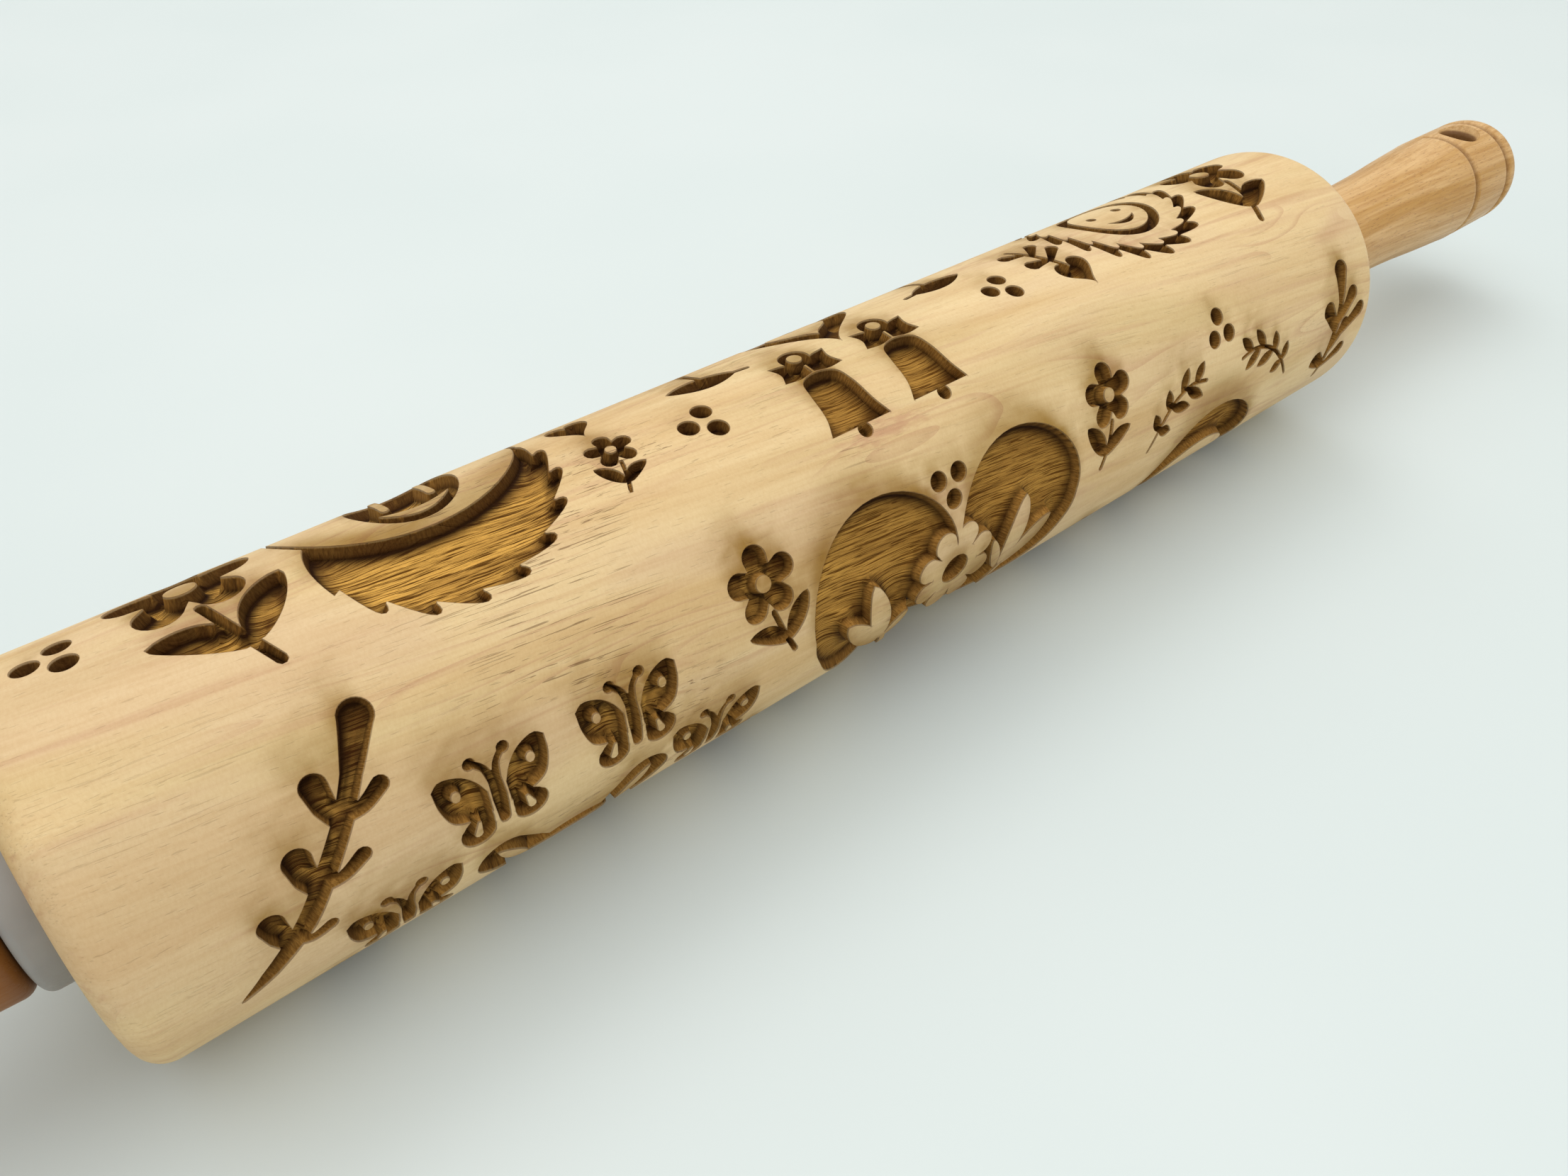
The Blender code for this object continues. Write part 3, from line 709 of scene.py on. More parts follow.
class Graph:
    """A material's nodes, with short ways to the patterns that several finishes share."""

    def __init__(self, name: str) -> None:
        """Makes an empty material with a Principled shader."""
        self.material = bpy.data.materials.new(name)
        self.material.use_nodes = True
        self.tree = self.material.node_tree
        self.shader = self.tree.nodes["Principled BSDF"]
        self.place = add_node(self.tree, "TexCoord").outputs["Object"]

    def bend_grain(self, lean: float, amount: float, length: float) -> None:
        """Makes every pattern on the object's own coordinates follow a leaning, wavy grain.

        Args:
            lean: How far the grain drifts, as a share of its way along X.
            amount: Size of its waves in millimetres.
            length: Length of its waves in millimetres.
        """
        waves = {"Vector": self.stretched((length, length / 4, length / 4)), "Scale": 1.0, "Detail": 1.0}
        wave = add_node(self.tree, "TexNoise", None, waves).outputs["Color"]
        centred = self.vector("SUBTRACT", {0: wave, 1: (0.5, 0.5, 0.5)})
        shift = self.vector("SCALE", {0: centred.outputs[0], "Scale": amount * MM})
        moved = self.vector("ADD", {0: self.place, 1: shift.outputs[0]})
        inputs = {"Vector": moved.outputs[0], "Rotation": (0.0, lean, -lean)}
        self.place = add_node(self.tree, "Mapping", {"vector_type": "TEXTURE"}, inputs).outputs["Vector"]

    def vector(self, operation: str, inputs: dict[Any, Any]) -> bpy.types.Node:
        """One sum on vectors."""
        return add_node(self.tree, "VectorMath", {"operation": operation}, inputs)

    def stretched(self, lengths: Place3, source: Any = None) -> bpy.types.NodeSocket:
        """Coordinates in which one unit is a given length along each axis.

        Args:
            lengths: The lengths, in millimetres.
            source: Coordinates in millimetres to start from, or None for the object's own.

        Returns:
            The coordinates.
        """
        unit = 1.0 if source is not None else 1 / MM
        scale = tuple(unit / length for length in lengths)
        feed = self.place if source is None else source
        return add_node(self.tree, "Mapping", None, {"Vector": feed, "Scale": scale}).outputs["Vector"]

    def noise(
        self, vector: Any, detail: float = 3.0, roughness: float = 0.55, distortion: float = 0.0
    ) -> bpy.types.NodeSocket:
        """Smooth noise, 0 to 1.

        Args:
            vector: Coordinates from stretched().
            detail: How many finer layers it has.
            roughness: How strong they are.
            distortion: How far it is warped.

        Returns:
            The noise.
        """
        inputs = {"Vector": vector, "Scale": 1.0, "Detail": detail}
        inputs |= {"Roughness": roughness, "Distortion": distortion}
        return add_node(self.tree, "TexNoise", None, inputs).outputs["Fac"]

    def band(
        self, value: Any, low: float, high: float, start: float = 0.0, end: float = 1.0
    ) -> bpy.types.NodeSocket:
        """Takes one range of a value to another, smoothly and without passing its ends.

        Args:
            value: The value.
            low: Where the range starts.
            high: Where it ends.
            start: What low becomes.
            end: What high becomes.

        Returns:
            The new value.
        """
        settings = {"interpolation_type": "SMOOTHSTEP"}
        inputs = {"Value": value, "From Min": low, "From Max": high, "To Min": start, "To Max": end}
        return add_node(self.tree, "MapRange", settings, inputs).outputs["Result"]

    def math(self, operation: str, first: Any, second: Any = 0.0) -> bpy.types.NodeSocket:
        """One sum on one or two values."""
        return add_node(self.tree, "Math", {"operation": operation}, {0: first, 1: second}).outputs[0]

    def mix(self, share: Any, first: Any, second: Any, blend: str = "MIX") -> bpy.types.NodeSocket:
        """Mixes two colours.

        Args:
            share: How much of the second there is.
            first: An sRGB hex colour or an output.
            second: The same.
            blend: How the second lies over the first.

        Returns:
            The colour.
        """
        settings = {"data_type": "RGBA", "blend_type": blend}
        colours = [linear(c) if isinstance(c, str) else c for c in (first, second)]
        node = add_node(self.tree, "Mix", settings, {0: share, 6: colours[0], 7: colours[1]})
        return node.outputs[2]

    def attribute(self, name: str) -> bpy.types.NodeSocket:
        """A number that the mesh holds for each vertex, by its name."""
        return add_node(self.tree, "Attribute", {"attribute_name": name}).outputs["Fac"]

    def bump(
        self, height: Any, distance: float, strength: float = 1.0, normal: Any = None
    ) -> bpy.types.NodeSocket:
        """Raises the surface.

        Args:
            height: A height between 0 and 1.
            distance: What a height of 1 stands for, in millimetres.
            strength: How strongly it shows.
            normal: The normal from another bump, or None.

        Returns:
            The normal.
        """
        inputs = {"Height": height, "Distance": distance * MM, "Strength": strength}
        if normal is not None:
            inputs["Normal"] = normal
        return add_node(self.tree, "Bump", None, inputs).outputs["Normal"]

    def set(self, **values: Any) -> None:
        """Sets or links the shader's inputs.

        Args:
            values: For each input, a value or an output. An underscore stands for a space.
        """
        for name, value in values.items():
            socket = self.shader.inputs[name.replace("_", " ")]
            if isinstance(value, bpy.types.NodeSocket):
                self.tree.links.new(value, socket)
            else:
                socket.default_value = value


@dataclass(frozen=True)
class LaserEngravedHardwood:
    """Pale diffuse-porous hardwood, turned, sanded and left bare, then engraved by a laser.

    The sanded surface is matt and cream, with long soft bands and short dark pores along the
    grain. The laser leaves brown pockets whose floors show the grain as charred ridges, dark
    corners, streaked walls, a thin burnt rim and soft smoke stains above the pockets. The dark
    corners and narrow pockets are partly char and partly painted shade; the walls and floors
    under the upper rims, and the floors from the barrel's middle on, are painted shade.

    Attributes:
        knot_at: Place of a small knot, in millimetres.
        coarse_at: Place along the barrel where the pores are widest open, in millimetres.
    """

    name: str = "bare_hardwood_laser_engraved"
    cream: str = "e3c897"
    tan: str = "d3b17c"
    olive: str = "cfb984"
    blush: str = "d3b48f"
    rose: str = "bf8f6c"
    pore: str = "6f4a22"
    smoke: str = "b0994e"
    floor_light: str = "e0aa52"
    floor_dark: str = "684212"
    narrow_floor: str = "47220a"
    # Dark brown for char and painted shade in the corners and on walls turned from the light.
    corner: str = "2e1806"
    wall: str = "b3833f"
    rim: str = "6b4722"
    knot_at: Place3 = (-4.0, -16.6, 50.4)
    coarse_at: float = -42.0

    def material(self) -> bpy.types.Material:
        """Builds the material. It reads the numbers that the barrel's mesh holds.

        Returns:
            The material.
        """
        g = Graph(self.name)
        at_knot = self._knot(g)
        along = add_node(g.tree, "SeparateXYZ", None, {0: g.stretched((1, 1, 1))}).outputs[0]
        away = g.math("ABSOLUTE", g.math("SUBTRACT", along, self.coarse_at))
        coarse = g.band(away, 22.0, 50.0, 1.0, 0.25)
        g.bend_grain(0.075, 3.0, 60.0)
        wood, wood_height = self._sanded(g, coarse)
        wood = g.mix(g.math("MULTIPLY", at_knot, 0.65), wood, self.rose)
        cut, cut_height = self._burnt(g)
        cutting = g.band(g.attribute("depth"), 0.01, 0.12)
        cloud = g.band(g.noise(g.stretched((14, 9, 9))), 0.25, 0.7, 0.6, 1.0)
        smoked = g.math("MULTIPLY", g.band(g.attribute("smoke"), 0.0, 0.95), cloud)
        wood = g.mix(smoked, wood, g.mix(1.0, wood, self.smoke, "MULTIPLY"))
        wood = g.mix(g.band(g.attribute("edge"), 0.3, 1.0, 0.0, 0.6), wood, self.rim)
        g.set(Base_Color=g.mix(cutting, wood, cut))
        g.set(Roughness=g.band(cutting, 0, 1, 0.6, 0.85))
        g.set(Specular_IOR_Level=g.band(cutting, 0, 1, 0.3, 0.08))
        normal = g.bump(wood_height, 0.16, 0.6)
        g.set(Normal=g.bump(g.math("MULTIPLY", cut_height, cutting), 0.5, 0.9, normal))
        return g.material

    def _knot(self, g: Graph) -> bpy.types.NodeSocket:
        """How near each place is to a small knot.

        Args:
            g: The material's nodes.

        Returns:
            1 at its middle and 0 away from it.
        """
        inputs = {"Vector": g.place, "Location": tuple(c * MM for c in self.knot_at)}
        inputs["Scale"] = (9 * MM, 2.6 * MM, 2.6 * MM)
        near = add_node(g.tree, "Mapping", {"vector_type": "TEXTURE"}, inputs).outputs["Vector"]
        reach = g.vector("LENGTH", {0: near}).outputs["Value"]
        ragged = g.math("ADD", reach, g.band(g.noise(g.stretched((3, 0.8, 0.8))), 0.3, 0.7, -0.4, 0.4))
        return g.band(ragged, 0.1, 1.2, 1.0, 0.0)

    def _sanded(
        self, g: Graph, coarse: bpy.types.NodeSocket
    ) -> tuple[bpy.types.NodeSocket, bpy.types.NodeSocket]:
        """The bare wood's colour and height.

        Args:
            g: The material's nodes.
            coarse: How open the pores are at each place.

        Returns:
            The colour and the height.
        """
        bands = g.noise(g.stretched((150, 9, 9)), 4.0, 0.5, 0.5)
        colour = g.mix(g.band(bands, 0.36, 0.7), self.cream, self.tan)
        patches = g.noise(g.stretched((90, 16, 16)), 2.0)
        colour = g.mix(g.band(patches, 0.5, 0.72, 0, 0.5), colour, self.olive)
        patches = g.noise(g.stretched((65, 20, 20)), 2.0, 0.5, 0.6)
        colour = g.mix(g.band(patches, 0.48, 0.66, 0, 0.45), colour, self.blush)
        streaks = g.noise(g.stretched((160, 2.4, 2.4)), 2.0, 0.5, 0.4)
        colour = g.mix(g.band(streaks, 0.56, 0.74, 0, 0.4), colour, self.rose)
        # Growth rings cut at a glance leave wandering lines, in places only.
        rings = g.noise(g.stretched((70, 11, 11)), 1.0, 0.4)
        rings = g.band(g.math("FRACT", g.math("MULTIPLY", rings, 11.0)), 0.0, 0.3, 1.0, 0.0)
        in_places = g.band(g.noise(g.stretched((50, 14, 14)), 1.0), 0.44, 0.62, 0, 0.42)
        colour = g.mix(g.math("MULTIPLY", rings, in_places), colour, self.rose)
        lines = g.noise(g.stretched((30, 0.7, 0.7)), 3.0, 0.6, 0.4)
        colour = g.mix(g.band(lines, 0.35, 0.75, 0.0, 0.16), colour, self.tan, "MULTIPLY")
        # Pores: grooves about 9 mm long and 0.25 mm wide, in drifts.
        drift = g.band(g.noise(g.stretched((45, 13, 13)), 2.0), 0.46, 0.6)
        cracks = g.noise(g.stretched((14.0, 0.27, 0.27)), 1.0, 0.4, 0.9)
        cracks = g.math("MULTIPLY", g.math("MULTIPLY", g.band(cracks, 0.645, 0.69), drift), coarse)
        dots = g.noise(g.stretched((3.0, 0.24, 0.24)), 1.0, 0.5, 0.2)
        pores = g.math("MAXIMUM", cracks, g.band(dots, 0.66, 0.76, 0.0, 0.28))
        colour = g.mix(g.math("MULTIPLY", pores, 0.64), colour, self.pore)
        # Sanding leaves a faint nap across the grain.
        nap = g.noise(g.stretched((0.35, 0.7, 0.7)), 2.0)
        colour = g.mix(g.band(nap, 0.3, 0.7, 0.0, 0.1), colour, self.tan, "MULTIPLY")
        height = g.math("SUBTRACT", g.math("MULTIPLY", lines, 0.3), pores)
        return colour, g.math("ADD", height, g.math("MULTIPLY", nap, 0.4))

    def _burnt(self, g: Graph) -> tuple[bpy.types.NodeSocket, bpy.types.NodeSocket]:
        """The engraved pockets.

        Args:
            g: The material's nodes.

        Returns:
            Their colour and height.
        """
        flat = add_node(g.tree, "UVMap", {"uv_map": "unrolled"}).outputs["UV"]
        lean = {"Vector": flat, "Rotation": (0.0, 0.0, -0.1)}
        leaning = add_node(g.tree, "Mapping", None, lean).outputs["Vector"]
        ridges = g.noise(g.stretched((8.0, 0.3, 1), leaning), 2.0, 0.55, 0.9)
        coarse = g.noise(g.stretched((18.0, 2.2, 1), leaning), 2.0, 0.5, 0.3)
        colour = g.mix(g.band(ridges, 0.38, 0.52), self.floor_dark, self.floor_light)
        colour = g.mix(g.band(coarse, 0.35, 0.65, 0.0, 0.35), colour, self.floor_dark, "MULTIPLY")
        # Corners are darkened partly as char and partly as painted shade; the walls and floor
        # under a pocket's upper rims, turned from the light, get more painted shade.
        inset = g.attribute("inset")
        shade_side = g.band(g.attribute("shade_side"), 0.25, 0.85)
        side_shade = g.math("MULTIPLY", shade_side, g.band(inset, 0.45, 3.0, 0.55, 0.0))
        char_and_shade = g.math("ADD", g.band(inset, 0.45, 1.8, 0.5, 0.0), side_shade)
        # Little light gets into a narrow pocket, and little of its soot got out.
        narrow = g.band(g.attribute("narrow"), 0.15, 0.75)
        colour = g.mix(g.math("MULTIPLY", narrow, 0.8), colour, self.narrow_floor)
        # Floors from the middle of the barrel on are darkened as painted shade.
        along = add_node(g.tree, "SeparateXYZ", None, {0: flat}).outputs[0]
        colour = g.mix(g.band(along, -40.0, -5.0, 0.0, 0.45), colour, self.floor_dark)
        colour = g.mix(char_and_shade, colour, self.corner)
        streak = g.noise(g.stretched((0.3, 0.3, 1), flat), 2.0, 0.6)
        wall = g.mix(g.band(streak, 0.3, 0.7, 0.0, 0.6), self.wall, self.floor_dark)
        # Walls darken towards the floor partly as char and partly as painted shade, and walls under the
        # upper rims, turned from the light, are darkened further as painted shade.
        wall = g.mix(g.band(g.attribute("depth"), 0.3, 0.7, 0.0, 0.6), wall, self.corner)
        wall = g.mix(g.math("MULTIPLY", shade_side, 0.78), wall, self.corner)
        wall = g.mix(g.math("MULTIPLY", narrow, 0.3), wall, self.narrow_floor)
        colour = g.mix(g.band(inset, 0.38, 0.52), wall, colour)
        height = g.math("ADD", ridges, g.math("MULTIPLY", coarse, 0.6))
        return colour, g.math("ADD", height, g.math("MULTIPLY", streak, 0.3))


@dataclass(frozen=True)
class VarnishedBeech:
    """Turned beech under a thin satin varnish: warm, with fine lines and short dark flecks.

    Attributes:
        shoulder_shade: Colour of the painted shade on the handle, darkest at its shoulder.
        painted_shade_to: Where the painted shade has faded out, along the axle from the pin's
            middle in millimetres, as are the places below. 0 leaves it out.
        dark_recess: Dark colour of the grooves and the hole, and of the painted shade at the shoulder.
        hole_at: Middle of the hanging hole, or 0.
        hole_radius: Radius within which the drill left its mark.
        grooves_at: Middles of the turned grooves.
        groove_half: Half a groove's width.
    """

    name: str = "turned_beech_varnished"
    light: str = "d9b27a"
    warm: str = "c0924f"
    fleck: str = "84552a"
    shoulder_shade: str = "8a5008"
    painted_shade_to: float = 0.0
    dark_recess: str = "643807"
    hole_at: float = 0.0
    hole_radius: float = 4.2
    grooves_at: tuple[float, float] = (207.0, 223.0)
    groove_half: float = 1.3

    def material(self) -> bpy.types.Material:
        """Builds the material.

        Returns:
            The material.
        """
        g = Graph(self.name)
        along, across, _ = add_node(g.tree, "SeparateXYZ", None, {0: g.stretched((1, 1, 1))}).outputs
        g.bend_grain(0.03, 2.0, 50.0)
        bands = g.noise(g.stretched((110, 4, 4)), 4.0, 0.55, 0.7)
        colour = g.mix(g.band(bands, 0.34, 0.68), self.light, self.warm)
        lines = g.noise(g.stretched((30, 0.55, 0.55)), 3.0, 0.6, 0.3)
        colour = g.mix(g.band(lines, 0.35, 0.7, 0, 0.3), colour, self.warm, "MULTIPLY")
        # Flecks: rays cut across, 1.6 mm long and 0.2 mm wide.
        flecks = g.band(g.noise(g.stretched((1.6, 0.24, 0.24)), 1.0), 0.62, 0.7)
        colour = g.mix(g.math("MULTIPLY", flecks, 0.4), colour, self.fleck)
        from_middle = g.math("ABSOLUTE", along)
        for groove_at in self.grooves_at:
            # The grooves are coloured darker.
            away = g.math("ABSOLUTE", g.math("SUBTRACT", from_middle, groove_at))
            in_groove = g.band(away, 0.4 * self.groove_half, self.groove_half, 0.55, 0.0)
            colour = g.mix(in_groove, colour, self.dark_recess)
        if self.painted_shade_to:
            # Painted shade: the handle is darkened from its shoulder, fading along it, and darkest
            # right at the shoulder.
            shade_share = g.band(from_middle, 137.0, self.painted_shade_to, 0.9, 0.0)
            colour = g.mix(shade_share, colour, self.shoulder_shade)
            colour = g.mix(g.band(from_middle, 138.5, 142.0, 0.6, 0.0), colour, self.dark_recess)
        if self.hole_at:
            # The hole's wall and mouth are coloured dark.
            away = g.math("POWER", g.math("SUBTRACT", along, self.hole_at), 2.0)
            radius = g.math("SQRT", g.math("ADD", away, g.math("POWER", across, 2.0)))
            in_hole = g.band(radius, self.hole_radius, self.hole_radius + 0.5, 0.8, 0.0)
            colour = g.mix(in_hole, colour, self.dark_recess)
        g.set(Base_Color=colour, Roughness=g.band(lines, 0.3, 0.7, 0.36, 0.5))
        g.set(Coat_Weight=0.08, Coat_Roughness=0.3, Specular_IOR_Level=0.3)
        g.set(Normal=g.bump(g.math("SUBTRACT", lines, flecks), 0.06, 0.5))
        return g.material


@dataclass(frozen=True)
class MouldedNylon:
    """Injection moulded nylon, very pale in itself but coloured grey as painted shade: slightly
    see-through at its edges, with a satin skin.
    """

    name: str = "moulded_nylon_painted_shade"
    # Both greys are darker than the nylon itself: painted shade, for the bush in shadow.
    grey_in_painted_shade: str = "9b9791"
    shade: str = "8f8c87"

    def material(self) -> bpy.types.Material:
        """Builds the material.

        Returns:
            The material.
        """
        g = Graph(self.name)
        cloud = g.noise(g.stretched((9, 9, 9)), 2.0)
        skin = g.noise(g.stretched((0.5, 0.5, 0.5)), 2.0)
        g.set(Base_Color=g.mix(g.band(cloud, 0.3, 0.7), self.grey_in_painted_shade, self.shade))
        g.set(Roughness=g.band(skin, 0.3, 0.7, 0.36, 0.46))
        g.set(Subsurface_Weight=0.12, Subsurface_Scale=0.6 * MM, IOR=1.53)
        g.set(Normal=g.bump(skin, 0.02, 0.5))
        return g.material


@dataclass(frozen=True)
class DrawnSteel:
    """Bright drawn mild steel: grey, with fine scratches along the way it was drawn."""

    name: str = "bright_drawn_steel"
    bright: str = "b9babc"
    dull: str = "97989b"

    def material(self) -> bpy.types.Material:
        """Builds the material.

        Returns:
            The material.
        """
        g = Graph(self.name)
        scratches = g.noise(g.stretched((12, 0.2, 0.2)), 3.0)
        stain = g.noise(g.stretched((8, 5, 5)), 2.0)
        g.set(Base_Color=g.mix(g.band(stain, 0.35, 0.7), self.bright, self.dull), Metallic=1.0)
        g.set(Roughness=g.band(scratches, 0.3, 0.7, 0.24, 0.42), Normal=g.bump(scratches, 0.01, 0.4))
        return g.material


@dataclass(frozen=True)
class PaintedTable:
    """A smooth table top with pale cool eggshell paint."""

    name: str = "eggshell_paint_pale"
    pale: str = "d2dad8"
    cool: str = "cfd8d6"

    def material(self) -> bpy.types.Material:
        """Builds the material.

        Returns:
            The material.
        """
        g = Graph(self.name)
        cloud = g.noise(g.stretched((160, 160, 160)), 2.0)
        g.set(Base_Color=g.mix(g.band(cloud, 0.35, 0.65), self.pale, self.cool), Roughness=0.5)
        return g.material


# ---------------------------------------------------------------------------------------------
# Pieces.
# ---------------------------------------------------------------------------------------------


class Body(Enum):
    """The frame's bodies: the axle with the handles, and the roller that turns on it."""

    AXLE = "axle"
    ROLLER = "roller"


def quarter_round(start: float, length: float, radius: float, drop: float, steps: int) -> Outline:
    """Points (along, radius) round a convex corner.

    Args:
        start: Where the corner starts along the axle.
        length: How far it reaches along the axle, negative towards the middle.
        radius: Radius where it starts.
        drop: How much the radius falls.
        steps: Number of straight pieces.

    Returns:
        The points, start and end included.
    """
    turns = [math.pi / 2 * i / steps for i in range(steps + 1)]
    return [(start + length * math.sin(t), radius - drop * (1 - math.cos(t))) for t in turns]


def finish_piece(
    bm: bmesh.types.BMesh,
    name: str,
    material: bpy.types.Material,
    body: Body,
    node: str,
    sharp: float = 35.0,
) -> bpy.types.Object:
    """Makes a piece of a bmesh, shades it and ties it to the frame.

    Args:
        bm: The piece's mesh, in the frame's own place. It is freed.
        name: The piece's name.
        material: Its finish.
        body: The body that it rides on.
        node: The CAD node that it replaces.
        sharp: Angle in degrees past which an edge stays sharp.

    Returns:
        The piece's object.
    """
    mesh = bpy.data.meshes.new(name)
    bm.to_mesh(mesh)
    bm.free()
    mesh.shade_smooth()
    mesh.set_sharp_from_angle(angle=math.radians(sharp))
    mesh.materials.append(material)
    piece = bpy.data.objects.new(name, mesh)
    bpy.context.scene.collection.objects.link(piece)
    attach(piece, body.value)
    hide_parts(node)
    LOG.info("%s: %d faces", name, len(mesh.polygons))
    return piece


@dataclass
class Lathe:
    """Turns closed profiles about the axle.

    Attributes:
        height: Height of the axle over the table.
        steps: Number of steps in a full turn.
    """

    height: float
    steps: int = 96

    def turn(self, profile: Sequence[Point], side: int = 1) -> bmesh.types.BMesh:
        """Spins a closed outline of (along, radius) points into a solid.

        Args:
            profile: The outline, in metres. Two points in a row on the axis leave a gap there.
            side: 1 for the right end of the pin, -1 to mirror it to the left.

        Returns:
            The solid's mesh.
        """
        bm = bmesh.new()
        verts = [bm.verts.new((side * along, 0.0, self.height + radius)) for along, radius in profile]
        on_axis = [radius < 1e-7 for _, radius in profile]
        edges = []
        for i, start in enumerate(verts):
            following = (i + 1) % len(verts)
            if not (on_axis[i] and on_axis[following]):
                edges.append(bm.edges.new((start, verts[following])))
        bmesh.ops.spin(
            bm, geom=verts + edges, cent=(0, 0, self.height), axis=(1, 0, 0),
            angle=2 * math.pi, steps=self.steps, use_merge=True,
        )
        bmesh.ops.remove_doubles(bm, verts=bm.verts, dist=1e-6)
        bmesh.ops.recalc_face_normals(bm, faces=bm.faces)
        return bm


@dataclass
class EngravedBarrel:
    """The turned barrel with its engraving.

    Attributes:
        radius: Radius of the barrel.
        half_length: Half its length.
        height: Height of its axis.
        finish: Its material.
        rounding: Rounding of its ends, in millimetres, as are all the sizes below.
        depth: Depth of the engraved pockets in the middle of wide ones.
        lip: Distance in from a pocket's rim over which its edge is rounded off.
        lip_depth: Depth at that distance.
        wall: Distance in from the rim where the slanting wall meets the floor.
        wall_depth: Depth there; from there on the floor is a shallow bowl.
        bowl_reach: Distance in from the rim where the floor is deepest.
        scorch: Width of the burnt line outside the rim.
        shade_way: The way on the drawing, from a rim into its pocket, along which the walls and
            floor are turned from the light and painted in shade.
        look_round: How far from a place its pocket counts as wide or narrow.
        facet: Spacing of the surface's points round the barrel.
        stretch: Their spacing along it.
        floor_step: Spacing of the points of the pocket floors.
        rim_step: Longest spacing of the points of the rims.
        finder_step: Longest spacing of the places from which distances are measured.
        front: Angle of the front line from the top, in degrees.
        blank: Angle of the seam from the top, where nothing is engraved, in degrees.
        socket_radius: Radius of the sockets that hold the bushes.
        socket_depth: Their depth.
        bore_radius: Radius of the bore between the sockets.
    """

    radius: float
    half_length: float
    height: float
    finish: bpy.types.Material
    rounding: float = 4.2
    depth: float = 2.9
    lip: float = 0.10
    lip_depth: float = 0.46
    wall: float = 0.5
    wall_depth: float = 2.0
    bowl_reach: float = 4.0
    scorch: float = 0.14
    shade_way: Point = (0.5, 0.87)
    look_round: float = 3.4
    facet: float = 1.33
    stretch: float = 2.0
    floor_step: float = 1.0
    rim_step: float = 0.75
    finder_step: float = 0.12
    front: float = 45.0
    blank: float = 186.0
    socket_radius: float = 10.0
    socket_depth: float = 14.0
    bore_radius: float = 7.0

    def __post_init__(self) -> None:
        """Works out the sheet's size from the barrel's."""
        self.reach = self.half_length / MM - self.rounding
        around = 2 * math.pi * self.radius / MM
        self.high_edge = math.radians(self.blank - self.front) * self.radius / MM
        self.low_edge = self.high_edge - around
        self.columns = np.linspace(-self.reach, self.reach, round(2 * self.reach / self.stretch) + 1)
        self.rows = np.linspace(self.low_edge, self.high_edge, round(around / self.facet) + 1)

    def build(self) -> bpy.types.Object:
        """Models the barrel.

        Returns:
            The barrel.
        """
        drawing = Drawing()
        drawing.front()
        drawing.back()
        corners, rims = self._rims(drawing.shapes)
        points, edges, counts = self._points(corners, rims, drawing.shapes)
        LOG.info("engraving: %d outlines, %d points", len(drawing.shapes), len(points))
        bm = self._sheet(points, edges, counts, drawing.shapes)
        self._roll_up(bm)
        self._close(bm)
        bmesh.ops.recalc_face_normals(bm, faces=bm.faces)
        return finish_piece(bm, "engraved_barrel", self.finish, Body.ROLLER, "barrel")

    def _rims(self, shapes: Shapes) -> tuple[np.ndarray, Pairs]:
        """Finds where the surface meets the pockets, once every outline has had its say.

        Args:
            shapes: The drawing.

        Returns:
            Corners, and the rims as pairs of them, each with its pocket on the left.
        """
        points, edges = [], []
        for outline, _ in shapes:
            first = len(points)
            points += [Vector(point) for point in outline]
            edges += [(first + i, first + (i + 1) % len(outline)) for i in range(len(outline))]
        corners, _, triangles, _, _, _ = delaunay_2d_cdt(points, edges, [], 0, 0.01)
        corners = np.array([tuple(corner) for corner in corners])
        levels = levels_at(corners[np.array(triangles)].mean(1), shapes)
        level_left = {}
        for triangle, level in zip(triangles, levels):
            for start, end in zip(triangle, triangle[1:] + triangle[:1]):
                level_left[start, end] = level
        rims = []
        for (start, end), level in level_left.items():
            level_right = level_left.get((end, start), Level.SURFACE)
            if level == Level.POCKET and level_right == Level.SURFACE:
                rims.append((start, end))
        return corners, rims

    def _points(
        self, corners: np.ndarray, rims: Pairs, shapes: Shapes
    ) -> tuple[np.ndarray, Pairs, int]:
        """Spreads the points of the sheet: rims, rings beside them, floors and plain surface.

        Args:
            corners: Places that the rims join.
            rims: Pairs of corners.
            shapes: The drawing.

        Returns:
            The points, the rims as pairs of them, and the number of points on the rims.
        """
        rim, edges = self._split(corners, rims)
        self.near_rim = self._finder(corners, rims)
        inwards = self._inwards(rim, np.array(edges))
        groups = [rim]
        for offset in (self.lip, self.wall, -self.scorch):
            ring = rim + inwards * offset
            # A ring's points that came too near another rim are left out.
            groups.append(ring[self._from_rims(ring)[0] > 0.86 * abs(offset)])
        groups += [self._surface_grid(shapes), self._floor_grid(shapes)]
        return np.concatenate(groups), edges, len(rim)

    def _split(self, corners: np.ndarray, rims: Pairs) -> tuple[np.ndarray, Pairs]:
        """Divides the rims into pieces no longer than their step.

        Args:
            corners: Places that the rims join.
            rims: Pairs of corners.

        Returns:
            The points on the rims, and the pieces as pairs of them.
        """
        used = sorted({i for rim in rims for i in rim})
        number = {corner: i for i, corner in enumerate(used)}
        points = [corners[i] for i in used]
        edges = []
        for start, end in rims:
            way = corners[end] - corners[start]
            pieces = max(1, math.ceil(np.linalg.norm(way) / self.rim_step))
            chain = [number[start]]
            for k in range(1, pieces):
                points.append(corners[start] + way * k / pieces)
                chain.append(len(points) - 1)
            chain.append(number[end])
            edges += list(zip(chain, chain[1:]))
        return np.array(points), edges

